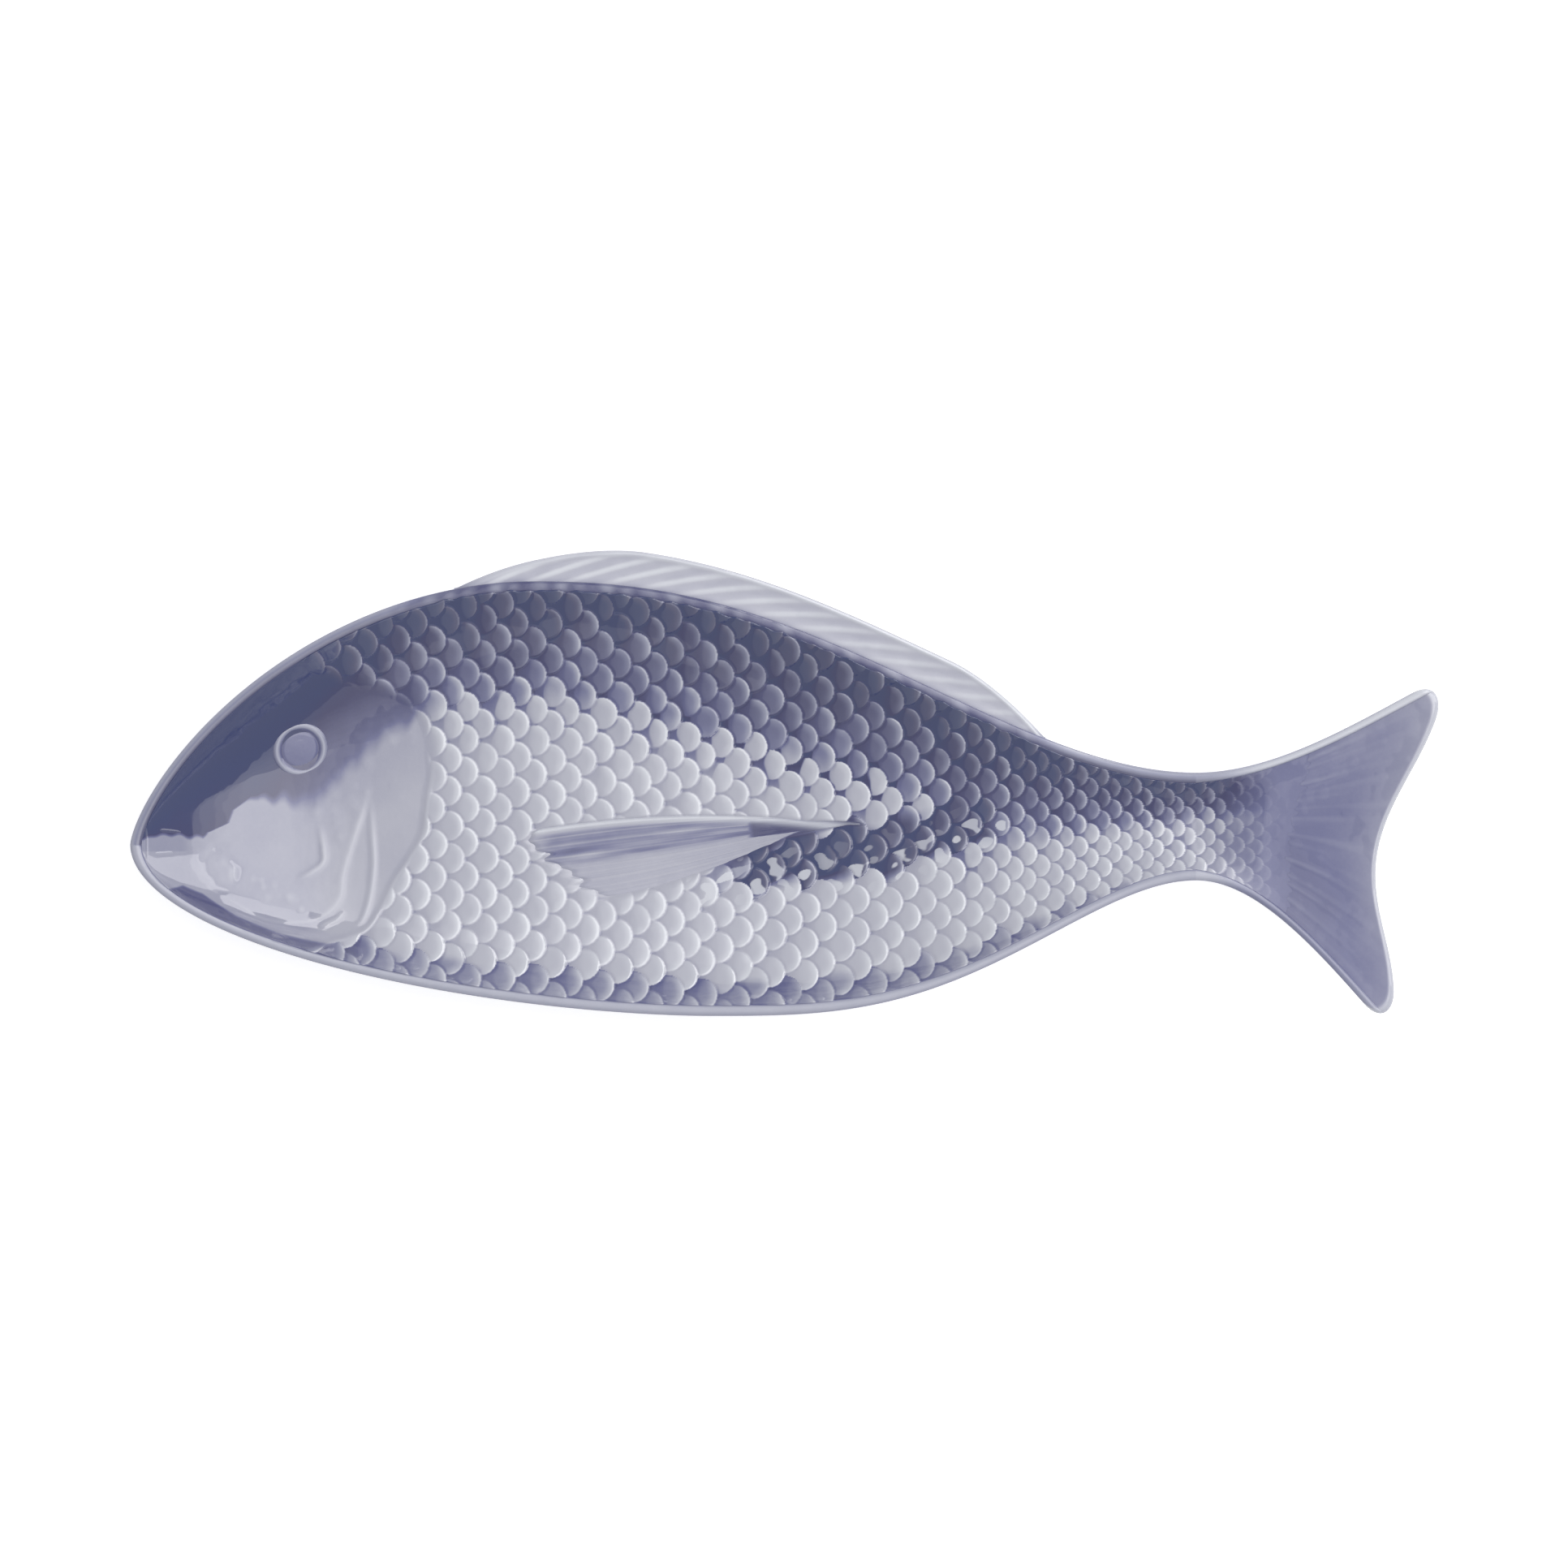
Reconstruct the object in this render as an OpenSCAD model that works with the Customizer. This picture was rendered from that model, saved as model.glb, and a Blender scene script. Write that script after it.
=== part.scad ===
// Fish-shaped serving platter: a shallow porcelain dish with a sea bream moulded in relief.
// The dish lies along X with its nose at -X, its back at +Y and its rim up.
// The origin is on the table, under the middle of the platter.

/* [Outline] */
// Distance of the nose in front of the origin
nose_reach = 200; // [170:1:230]
// How far the nose lies below the axis
nose_drop = 18.5; // [10:0.5:28]
// Height of the back's crest over the axis
back_height = 62; // [50:0.5:75]
// Distance of the back's crest behind the nose
back_station = 123; // [100:1:145]
// Depth of the belly below the axis
belly_depth = 71; // [58:0.5:84]
// Distance of the belly's lowest point behind the nose
belly_station = 177; // [150:1:200]
// Distance of the tail stock, the narrowest place, behind the nose
stock_station = 326; // [300:1:340]
// Width of the tail stock
stock_width = 33; // [26:0.5:42]
// How far the tail stock's middle lies below the axis
stock_drop = 13; // [6:0.5:20]

/* [Tail] */
// Reach of the upper lobe's corner behind the origin, before its tip is rounded
tail_reach = 202.4; // [185:0.5:220]
// Height of the upper lobe's corner over the axis
tail_rise = 33.5; // [22:0.5:45]
// Depth of the lower lobe's corner below the axis
tail_drop = 76.5; // [60:0.5:90]
// How much shorter the lower lobe is than the upper one
tail_sweep = 17; // [0:0.5:30]
// Depth of the fork in the trailing edge
fork_depth = 12.5; // [4:0.5:20]
// Length over which each tip of the tail is rounded
tip_round = 10.5; // [6:0.5:16]
// Thickness of the tail at its trailing edge
tail_thickness = 3.6; // [2.5:0.1:6]
// How far the tail dips between its raised edges
tail_dip = 1.4; // [0.5:0.1:3]
// Height of the tail's rays
tail_ray_height = 0.5; // [0:0.1:1]

/* [Section] */
// Height of the foot ring
foot_height = 3.5; // [2:0.5:6]
// Thickness of the floor
floor_thickness = 5; // [3.5:0.5:8]
// Depth of the well from the rim to the floor
well_depth = 19; // [14:0.5:26]
// Depth of the trough at the tail stock
stock_depth = 5; // [3:0.5:8]
// Length of the rise from the level floor to the nose
bow_run = 72; // [50:1:90]
// Length of the rise from the level floor to the tail stock
ramp_run = 110; // [80:1:140]
// How far the rim rises at the nose
nose_lift = 2; // [0:0.5:5]
// How far the rim rises towards the end of the tail
tail_lift = 9; // [0:0.5:12]
// Width of the rounded lip
lip_width = 3.5; // [2.5:0.1:5]
// Crown of the lip over its two edges
lip_crown = 0.9; // [0.3:0.1:1.5]
// Height of the lip's outer edge
lip_land = 3.2; // [2.5:0.1:4.5]

/* [Foot ring] */
// Width of the foot ring
foot_width = 56; // [44:1:60]
// Thickness of the foot ring's wall
foot_wall = 4; // [3:0.5:6]
// How far the foot ring stays inside each end of the level floor
foot_margin = 2; // [0:0.5:12]

/* [Dorsal fin] */
// Width of the dorsal fin
fin_width = 11; // [7:0.5:16]
// Distance of the fin's front end behind the nose
fin_start = 99; // [90:1:110]
// Distance of the fin's rear end behind the nose
fin_end = 280; // [250:1:300]
// Length over which the fin widens at its front
fin_front_run = 58; // [35:1:75]
// Length over which the fin narrows at its rear
fin_rear_run = 29; // [15:1:45]
// Thickness of the fin at its outer edge
fin_edge = 2.4; // [1.6:0.1:3]
// How far the fin's outer edge rises over its root
fin_rise = 1.6; // [0:0.2:4]
// Distance from one ray of the fin to the next
fin_ray_pitch = 8.4; // [7:0.2:12]
// Height of the fin's rays
fin_ray_height = 0.5; // [0:0.1:0.9]
// How far a ray leans back over the fin's width
fin_ray_lean = 9; // [0:0.5:14]

/* [Pectoral fin] */
// Length of the pectoral fin
pectoral_length = 108; // [85:1:112]
// Width of the pectoral fin at its root
pectoral_width = 25; // [18:0.5:30]
// Relief of the pectoral fin over the floor
pectoral_relief = 1.6; // [0.8:0.1:2.5]
// Height of the pectoral fin's rays
pectoral_ray_height = 0.5; // [0:0.1:0.9]
// Number of rays on the pectoral fin
pectoral_rays = 6; // [4:1:8]
// Distance of the pectoral fin's root behind the nose
pectoral_station = 118; // [114:1:124]
// How far the pectoral fin's upper corner lies below the axis
pectoral_drop = 14; // [8:0.5:18]

/* [Head] */
// Length of the head, from the nose to the rear edge of the gill plate
head_length = 92; // [80:1:100]
// Diameter of the eye's ring
eye_diameter = 17; // [13:0.2:19]
// Width of the eye's ring
eye_ring = 2.6; // [1.5:0.1:3]
// Relief of the eye's ring over the floor
eye_relief = 1.8; // [1.2:0.1:2.6]
// Relief of the pupil over the floor
pupil_relief = 1.5; // [1:0.1:2.4]
// Distance of the eye behind the nose
eye_station = 51.5; // [46:0.5:58]
// Height of the eye over the axis
eye_height = 10.8; // [6:0.2:14]
// Relief of the gill plates' rear edges over the floor
gill_relief = 1.4; // [0.6:0.1:2]
// Relief of the lips over the floor
lip_relief = 1.2; // [0.6:0.1:2]
// Width of each lip
lip_breadth = 3.2; // [2:0.1:4]

/* [Scales] */
// Distance from one scale to the next behind it in its row
scale_pitch = 10.4; // [9:0.1:13]
// Width of a scale across the row
scale_width = 10.4; // [9:0.1:13]
// Relief of a scale's free edge over the floor
scale_relief = 1; // [0.5:0.1:1.5]
// Size of the scales at the tail stock as a share of those on the flank
scale_taper = 0.6; // [0.5:0.05:0.8]

/* [Joints] */
// Thickness of the slip under the applied relief
slip = 0.25; // [0.15:0.05:0.4]

/* [Hidden] */
$fn = 64;

// Glaze colours as seen from above
navy_glaze = [0.36, 0.38, 0.56];
silver_glaze = [0.74, 0.75, 0.80];
tail_glaze = [0.55, 0.56, 0.68];
bare_clay = [0.90, 0.88, 0.84];

// Fullness of the outline's four arcs and of the two leading edges of the tail
back_front = [1.95, 1.4];
belly_front = [1.7, 1.95];
back_rear = 1.22;
belly_rear = 1.6;
lobe_slope = [1.45, 1.35];
fork_sharpness = 3;

// Share of each half of a section that is level, and how sharply its wall turns up, belly first
inner_flat = 0.25;
outer_flat = 0.46;
inner_turn = [4.5, 2];
outer_turn = [3, 1.4];
bow_turn = 2.2;

// How late the rim sweeps up towards the end of the tail
tail_turn = 4;

nose = [-nose_reach, -nose_drop];
back_x = nose.x + back_station;
belly_x = nose.x + belly_station;
stock_x = nose.x + stock_station;
stock_y = [-stock_drop - stock_width / 2, -stock_drop + stock_width / 2];
lobe_x = [tail_reach - tail_sweep, tail_reach];
lobe_y = [-tail_drop, tail_rise];
ramp_x = stock_x - ramp_run;
floor_z = foot_height + floor_thickness;
rim_z = floor_z + well_depth;

// Stations along the body, crowded towards the nose, and along the tail
body_rows = 40;
tail_rows = 14;
station_crowding = 1.7;
inner_v = [-1, -0.92, -0.82, -0.7, -0.55, -0.38, -0.2, 0, 0.2, 0.38, 0.55, 0.7, 0.82, 0.92, 1];
outer_v = [-1, -0.96, -0.9, -0.82, -0.72, -0.61, -0.5, -0.4, -0.2, 0, 0.2, 0.4, 0.5, 0.61, 0.72, 0.82, 0.9, 0.96, 1];
last_column = len(outer_v) - 1;

function mix(a, b, t) = a + (b - a) * t;
function unit(t) = max(0, min(1, t));
function ease(t) = t * t * (3 - 2 * t);
function side(v) = v < 0 ? 0 : 1;

// A quarter of a superellipse, which leaves the nose upright and arrives level
function quarter(t, full) = pow(1 - pow(1 - unit(t), full[0]), 1 / full[1]);

// The body's edges at a station, drawn in by a distance
function back_y(x, inset) = x < back_x
    ? mix(nose.y, back_height - inset, quarter((x - nose.x - inset) / (back_station - inset), back_front))
    : mix(back_height - inset, stock_y[1] - inset, ease(pow(unit((x - back_x) / (stock_x - back_x)), back_rear)));
function belly_y(x, inset) = x < belly_x
    ? mix(nose.y, inset - belly_depth, quarter((x - nose.x - inset) / (belly_station - inset), belly_front))
    : mix(inset - belly_depth, stock_y[0] + inset, ease(pow(unit((x - belly_x) / (stock_x - belly_x)), belly_rear)));
function edge_y(x, v, inset) = v < 0 ? belly_y(x, inset) : back_y(x, inset);
function body_y(x, v, inset) = mix(belly_y(x, inset), back_y(x, inset), (v + 1) / 2);
function body_x(row, inset) = mix(nose.x + inset, stock_x, pow(row / body_rows, station_crowding));

// Heights of the rim, the floor and the underside along the platter
function rim_at(x) = rim_z
    + nose_lift * pow(unit((back_x - x) / back_station), 2)
    + tail_lift * pow(unit((x - belly_x) / (tail_reach - belly_x)), tail_turn);
function edge_at(x) = rim_at(x) - lip_crown;
function bow(x, inset) = pow(1 - unit((x - nose.x - inset) / bow_run), bow_turn);
function ramp(x) = ease(unit((x - ramp_x) / ramp_run));
function floor_at(x) = mix(mix(floor_z, edge_at(nose.x), bow(x, lip_width)), edge_at(stock_x) - stock_depth, ramp(x));
function under_at(x) = mix(mix(foot_height, edge_at(nose.x) - lip_land, bow(x, 0)),
                           edge_at(stock_x) - stock_depth - floor_thickness, ramp(x));
function wall(v, flat, turn) = pow(unit((abs(v) - flat) / (1 - flat)), turn[side(v)]);
function inner_z(x, v) = mix(floor_at(x), edge_at(x), wall(v, inner_flat, inner_turn));
function outer_z(x, v) = mix(under_at(x), edge_at(x) - lip_land, wall(v, outer_flat, outer_turn));

// The height of the well's surface at a place on the plan, straight between the columns as its facets are
wall_chords = [for (v = inner_v) [v, wall(v, inner_flat, inner_turn)]];
function well_v(x, y) = 2 * (y - belly_y(x, lip_width)) / (back_y(x, lip_width) - belly_y(x, lip_width)) - 1;
function well_z(x, y) = mix(floor_at(x), edge_at(x), lookup(well_v(x, y), wall_chords));

// Triangles of a quadrilateral, without those that have no area
function triangle(a, b, c) = a == b || b == c || c == a ? [] : [[a, b, c]];
function quad(a, b, c, d) = concat(triangle(a, b, c), triangle(a, c, d));
function joined(lists) = [for (list = lists, item = list) item];

// A closed slab between an upper and a lower grid of points, in rows along X and columns along Y.
// Columns of the first row that share a point share its number, and such a row needs no end face.
module slab(top, under, first_top = [], first_under = []) {
    rows = len(top) - 1;
    columns = len(top[0]) - 1;
    pointed = len(first_top) > 0;
    stride = columns + 1;
    function upper(i, j) = (i == 0 && pointed) ? first_top[j] : i * stride + j;
    function lower(i, j) = (rows + 1) * stride + ((i == 0 && pointed) ? first_under[j] : i * stride + j);
    skins = [for (i = [0 : rows - 1], j = [0 : columns - 1])
        concat(quad(upper(i, j), upper(i, j + 1), upper(i + 1, j + 1), upper(i + 1, j)),
               quad(lower(i, j), lower(i + 1, j), lower(i + 1, j + 1), lower(i, j + 1)))];
    sides = [for (i = [0 : rows - 1])
        concat(quad(lower(i, 0), upper(i, 0), upper(i + 1, 0), lower(i + 1, 0)),
               quad(upper(i, columns), lower(i, columns), lower(i + 1, columns), upper(i + 1, columns)))];
    first_end = [for (j = [0 : columns - 1])
        pointed ? [] : quad(upper(0, j), lower(0, j), lower(0, j + 1), upper(0, j + 1))];
    last_end = [for (j = [0 : columns - 1])
        quad(upper(rows, j), upper(rows, j + 1), lower(rows, j + 1), lower(rows, j))];
    polyhedron(concat(joined(top), joined(under)), joined(concat(skins, sides, first_end, last_end)));
}

// The dish: lip, well and underside from the nose to the tail stock
function lip_points(row, v) =
    let (x = [body_x(row, 0), body_x(row, lip_width / 2)])
    [[x[0], edge_y(x[0], v, 0), edge_at(x[0])], [x[1], edge_y(x[1], v, lip_width / 2), rim_at(x[1])]];
function dish_top(row) =
    let (x = body_x(row, lip_width), belly_lip = lip_points(row, -1), back_lip = lip_points(row, 1))
    concat(belly_lip, [for (v = inner_v) [x, body_y(x, v, lip_width), inner_z(x, v)]], [back_lip[1], back_lip[0]]);
function dish_under(row) =
    let (x = body_x(row, 0))
    [for (v = outer_v) [x, body_y(x, v, 0), outer_z(x, v)]];

module dish() {
    nose_columns = [for (j = [0 : last_column]) min(j, last_column - j, 2)];
    color(navy_glaze)
        slab([for (row = [0 : body_rows]) dish_top(row)], [for (row = [0 : body_rows]) dish_under(row)],
             nose_columns, [for (j = [0 : last_column]) 0]);
}

// The tail: the stock's section carried on between two leading edges to a forked trailing edge
function lobe(t, k) = mix(stock_y[k], lobe_y[k], (3 - lobe_slope[k]) * t * t + (lobe_slope[k] - 2) * t * t * t);
function tail_limit(b) =
    let (round_b = 0.75, past = unit((abs(b) - round_b) / (1 - round_b)))
    1 - tip_round / (tail_reach - stock_x) * (1 - sqrt(1 - past * past));
function tail_xy(t, b) =
    let (a = t * tail_limit(b), low = mix(stock_x, lobe_x[0], a), high = mix(stock_x, lobe_x[1], a))
    [mix(low, high, (b + 1) / 2) - fork_depth * a * a * pow(1 - b * b, fork_sharpness),
     mix(lobe(a, 0), lobe(a, 1), (b + 1) / 2)];
function tail_top(row) =
    let (t = row / tail_rows, settle = ease(unit(3 * t)), half = stock_width / 2,
         lip_b = lip_width / mix(half, (tail_rise + tail_drop) / 2, t))
    concat([for (b = [-1, -1 + lip_b / 2]) tail_lip_point(t, b)],
           [for (j = [0 : len(inner_v) - 1])
               let (v = inner_v[j], xy = tail_xy(t, v * (1 - lip_b)), dip = mix(stock_depth, tail_dip, settle),
                    groove = tail_ray_height * settle * (j % 2))
               [xy.x, xy.y, edge_at(xy.x) - dip * (1 - wall(v, inner_flat, inner_turn)) - groove]],
           [for (b = [1 - lip_b / 2, 1]) tail_lip_point(t, b)]);
function tail_lip_point(t, b) =
    let (xy = tail_xy(t, b))
    [xy.x, xy.y, abs(b) < 1 ? rim_at(xy.x) : edge_at(xy.x)];
function tail_under(row) =
    let (t = row / tail_rows, settle = ease(unit(3 * t)))
    [for (v = outer_v)
        let (xy = tail_xy(t, v), drop = mix(stock_depth + floor_thickness, tail_dip + tail_thickness, settle))
        [xy.x, xy.y, edge_at(xy.x) - mix(drop, lip_land, wall(v, outer_flat, outer_turn))]];

module tail_fin() {
    color(tail_glaze)
        slab([for (row = [0 : tail_rows]) tail_top(row)], [for (row = [0 : tail_rows]) tail_under(row)]);
}

// The dorsal fin: a flange on the outer edge of the lip, along the back
function fin_share(x) = (1 - pow(1 - unit((x - nose.x - fin_start) / fin_front_run), 1.6))
    * (1 - pow(1 - unit((nose.x + fin_end - x) / fin_rear_run), 1.9));
function back_chord(x) =
    let (after = [for (row = [1 : body_rows]) if (body_x(row, 0) >= x) row][0],
         x0 = body_x(after - 1, 0), x1 = body_x(after, 0), t = (x - x0) / (x1 - x0))
    [mix(back_y(x0, 0), back_y(x1, 0), t), mix(edge_at(x0), edge_at(x1), t)];
fin_tip = 0.4;
fin_columns = [0, 0.35, 0.7, 1];
fin_ends = [nose.x + fin_start, nose.x + fin_end];
fin_substeps = 4;
fin_stations = concat(fin_ends[0],
    [for (row = [0 : body_rows - 1], k = [0 : fin_substeps - 1])
        let (x = mix(body_x(row, 0), body_x(row + 1, 0), k / fin_substeps))
        if (x > fin_ends[0] + fin_tip && x < fin_ends[1] - fin_tip) x],
    fin_ends[1]);
function fin_ray(x, c) = fin_ray_height * (0.5 - 0.5 * cos(360 * (x - fin_ray_lean * c) / fin_ray_pitch)) * sin(180 * c);
function fin_row(x, upper) =
    let (root = back_chord(x), reach = max(fin_tip, fin_width * fin_share(x)), share = reach / fin_width)
    [for (c = fin_columns)
        let (top = root[1] + fin_rise * share * c * c)
        [x, root[0] + reach * c, upper ? top - fin_ray(x, c) * share : top - mix(lip_land, fin_edge, c * share)]];

module dorsal_fin() {
    color(silver_glaze)
        slab([for (x = fin_stations) fin_row(x, true)], [for (x = fin_stations) fin_row(x, false)]);
}

// The pectoral fin: a leaf laid on the floor, with rays along it
pectoral_rows = 12;
pectoral_root = [nose.x + pectoral_station, -pectoral_drop];
pectoral_arch = 4.5;
pectoral_rake = 6;
pectoral_climb = 2;
pectoral_tip = 1;
pectoral_thin = 0.6;
pectoral_clearance = 4;
function leaf_share(t) = pow(1 - pow(t, 2.2), 1.6);
function leaf_xy(t, c) =
    [pectoral_root.x + pectoral_length * t + pectoral_rake * c * (1 - t),
     pectoral_root.y + pectoral_climb * t + pectoral_arch * 4 * t * (1 - t) * (1 - c)
         - max(pectoral_tip, pectoral_width * leaf_share(t)) * c];
function leaf_row(row, upper) =
    let (t = row / pectoral_rows, count = 2 * pectoral_rays)
    [for (k = [count : -1 : 0])
        let (xy = leaf_xy(t, k / count), seat = well_z(xy.x, xy.y) + slip,
             ray = (k % 2 == 0 ? pectoral_ray_height : 0) * (1 - t))
        [xy.x, xy.y, upper ? seat + mix(pectoral_relief - pectoral_ray_height, pectoral_thin, t) + ray : seat]];

module pectoral_fin() {
    color(silver_glaze)
        slab([for (row = [0 : pectoral_rows]) leaf_row(row, true)],
             [for (row = [0 : pectoral_rows]) leaf_row(row, false)]);
}

// Places on the head are given as a share of its length and as a share of the well's half width there
function bezier(p, t) =
    pow(1 - t, 3) * p[0] + 3 * t * pow(1 - t, 2) * p[1] + 3 * t * t * (1 - t) * p[2] + pow(t, 3) * p[3];
function head_xy(path, t) =
    let (p = bezier(path, t), x = nose.x + head_length * p.x)
    [x, body_y(x, p.y, lip_width)];
relief_rows = 14;
relief_edge = 0.3;
function swell(t) = mix(0.3, 1, sin(180 * t));

// A plate between two curves, thin along the first and full at the second, which is its free edge
plate_columns = [0, 0.35, 0.7, 0.9, 1];
function plate_row(front, rear, row, upper) =
    let (t = row / relief_rows, ends = [head_xy(front, t), head_xy(rear, t)])
    [for (c = plate_columns)
        let (xy = mix(ends[0], ends[1], c), seat = well_z(xy.x, xy.y) + slip)
        [xy.x, xy.y, upper ? seat + mix(relief_edge, gill_relief * swell(t), c * c) : seat]];
module plate(front, rear) {
    slab([for (row = [0 : relief_rows]) plate_row(front, rear, row, true)],
         [for (row = [0 : relief_rows]) plate_row(front, rear, row, false)]);
}

// The cheek plate and the gill plate behind it
cheek_front = [[0.65, 0.06], [0.66, -0.37], [0.63, -0.52], [0.4, -0.62]];
cheek_rear = [[0.79, 0.1], [0.67, -0.38], [0.74, -0.86], [0.37, -0.88]];
gill_front = [[0.86, 0.27], [0.82, -0.13], [0.86, -0.62], [0.71, -0.83]];
gill_rear = [[0.97, 0.3], [1.03, 0], [0.98, -0.42], [0.72, -0.89]];

module gill_cover() {
    color(silver_glaze) {
        plate(cheek_front, cheek_rear);
        plate(gill_front, gill_rear);
    }
}

// A low ridge along a curve on the floor, widest and fullest in its middle
ridge_columns = [-1, -0.4, 0.4, 1];
function ridge_row(path, row, upper) =
    let (t = row / relief_rows, here = head_xy(path, t), step = 0.01,
         along = head_xy(path, min(1, t + step)) - head_xy(path, max(0, t - step)),
         across = [-along.y, along.x] / norm(along))
    [for (c = ridge_columns)
        let (xy = here + across * c * swell(t) * lip_breadth / 2, seat = well_z(xy.x, xy.y) + slip)
        [xy.x, xy.y, upper ? seat + mix(relief_edge, lip_relief * swell(t), 1 - c * c) : seat]];
module ridge(path) {
    slab([for (row = [0 : relief_rows]) ridge_row(path, row, true)],
         [for (row = [0 : relief_rows]) ridge_row(path, row, false)]);
}

// The upper lip and the lower lip with the jaw bone behind it
upper_lip = [[0.07, 0.48], [0.13, 0.2], [0.18, 0.02], [0.25, -0.08]];
lower_lip = [[0.07, -0.46], [0.15, -0.3], [0.24, -0.24], [0.33, -0.47]];

module lips() {
    color(silver_glaze) {
        ridge(upper_lip);
        ridge(lower_lip);
    }
}

// The eye: a ring round a domed pupil, turned in one piece and laid square to the floor
eye_xy = [nose.x + eye_station, eye_height];
eye_radius = eye_diameter / 2;
eye_base = 0.6;
eye_slope = [for (axis = [[1, 0], [0, 1]])
    let (a = eye_xy + axis * eye_radius, b = eye_xy - axis * eye_radius)
    (well_z(a.x, a.y) - well_z(b.x, b.y)) / eye_diameter];
eye_seat = slip + max([for (turn = [0 : 30 : 330])
    let (offset = eye_radius * [cos(turn), sin(turn)], p = eye_xy + offset)
    well_z(p.x, p.y) - eye_slope * offset]);

module eye_profile() {
    pupil_radius = eye_radius - eye_ring;
    pupil_rise = pupil_relief - eye_base;
    dome_radius = (pupil_radius * pupil_radius + pupil_rise * pupil_rise) / (2 * pupil_rise);
    square([eye_radius, eye_base]);
    translate([pupil_radius, 0]) square([eye_ring, eye_relief - eye_ring / 2]);
    translate([eye_radius - eye_ring / 2, eye_relief - eye_ring / 2]) circle(d = eye_ring);
    intersection() {
        translate([0, pupil_relief - dome_radius]) circle(r = dome_radius);
        square([pupil_radius, pupil_relief]);
    }
}

module eye() {
    color(navy_glaze)
        translate([eye_xy.x, eye_xy.y, eye_seat])
            rotate([atan(eye_slope[1]), -atan(eye_slope[0]), 0])
                rotate_extrude() intersection() {
                    eye_profile();
                    square([eye_radius, eye_relief]);
                }
}

// The scales: half discs in staggered rows over the flank, smaller towards the tail
function scale_size(x) = mix(1, scale_taper, ramp(x));
function lateral_y(x) = (back_y(x, 0) + belly_y(x, 0)) / 2;
function next_columns(x) =
    let (after = x + scale_pitch / 2 * scale_size(x))
    after > stock_x - scale_pitch * scale_taper / 2 ? [x] : concat([x], next_columns(after));
scale_columns = next_columns(nose.x + head_length * gill_front[3].x);
scale_rows = 20;
scale_shrink = 0.95;
scale_steps = 4;
rim_clearance = 0.4;

// The flank starts behind the gill plate and over the nape, and leaves the pectoral fin free
nape_lean = 1.5;
function gill_edge(y) =
    let (top = head_xy(gill_rear, 0).y, low = head_xy(gill_rear, 1).y, t = unit((top - y) / (top - low)))
    head_xy(gill_rear, t).x - (y > top ? nape_lean * (y - top) : 0);
function leaf_clear(x, y, margin) =
    let (t = (x - pectoral_root.x) / pectoral_length, u = unit(t), edge = pectoral_clearance / pectoral_length)
    t < -edge || t > 1 + edge || y > leaf_xy(u, 0).y + margin || y < leaf_xy(u, 1).y - margin;
function on_flank(x, y, size) =
    let (reach = scale_pitch / 2 * size, half = scale_width / 2 * size, inside = half * 0.4)
    y < back_y(x, lip_width) - inside && y > belly_y(x, lip_width) + inside
    && x - reach > gill_edge(y)
    && leaf_clear(x, y, half) && leaf_clear(x + reach, y, half / 3) && leaf_clear(x - reach / 3, y, half / 3);
scale_places = [for (n = [0 : len(scale_columns) - 1], k = [-scale_rows : scale_rows])
    let (x = scale_columns[n], size = scale_size(x), y = lateral_y(x) + (k + (n % 2) / 2) * scale_width * size)
    if (on_flank(x, y, size)) [x, y, size]];
function in_well(p) =
    [p.x, min(back_y(p.x, lip_width) - rim_clearance, max(belly_y(p.x, lip_width) + rim_clearance, p.y))];
function scale_outline(place) =
    let (reach = scale_pitch / 2 * place[2] * scale_shrink, half = scale_width / 2 * place[2] * scale_shrink)
    concat([in_well([place.x - reach / 5, place.y])],
           [for (k = [0 : scale_steps]) let (turn = 180 * k / scale_steps - 90)
               in_well([place.x + reach * cos(turn), place.y + half * sin(turn)])]);
function scale_points(place) =
    let (low = [for (p = scale_outline(place)) [p.x, p.y, well_z(p.x, p.y) + slip]])
    concat(low, [for (k = [1 : scale_steps + 1]) low[k] + [0, 0, scale_relief * place[2]]]);
function scale_faces(base) =
    let (top = base + scale_steps + 1, last = scale_steps + 1)
    concat([for (k = [1 : scale_steps]) [base, base + k, base + k + 1]],
           [for (k = [1 : scale_steps]) [base, top + k + 1, top + k]],
           [for (k = [1 : scale_steps]) each quad(base + k, top + k, top + k + 1, base + k + 1)],
           [[base, top + 1, base + 1], [base, base + last, top + last]]);

module scales() {
    points_each = 2 * scale_steps + 3;
    color(navy_glaze)
        polyhedron([for (place = scale_places) each scale_points(place)],
                   [for (k = [0 : len(scale_places) - 1]) each scale_faces(k * points_each)]);
}

// The foot ring: an oval wall under the level part of the floor
foot_ends = [nose.x + bow_run + foot_margin, ramp_x - foot_margin];
foot_x = (foot_ends[0] + foot_ends[1]) / 2;
foot_facets = 48;
module foot_oval(inset) {
    half = [(foot_ends[1] - foot_ends[0]) / 2 - inset, foot_width / 2 - inset];
    translate([foot_x, lateral_y(foot_x)])
        polygon([for (k = [0 : foot_facets - 1]) let (turn = 360 * k / foot_facets)
            [half.x * cos(turn), half.y * sin(turn)]]);
}

module foot_ring() {
    color(bare_clay)
        linear_extrude(foot_height)
            difference() {
                foot_oval(0);
                foot_oval(foot_wall);
            }
}

dish();
tail_fin();
dorsal_fin();
pectoral_fin();
gill_cover();
lips();
eye();
scales();
foot_ring();
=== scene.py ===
"""Fish-shaped porcelain platter: the glazed and moulded surfaces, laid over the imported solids."""
import math

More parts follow.
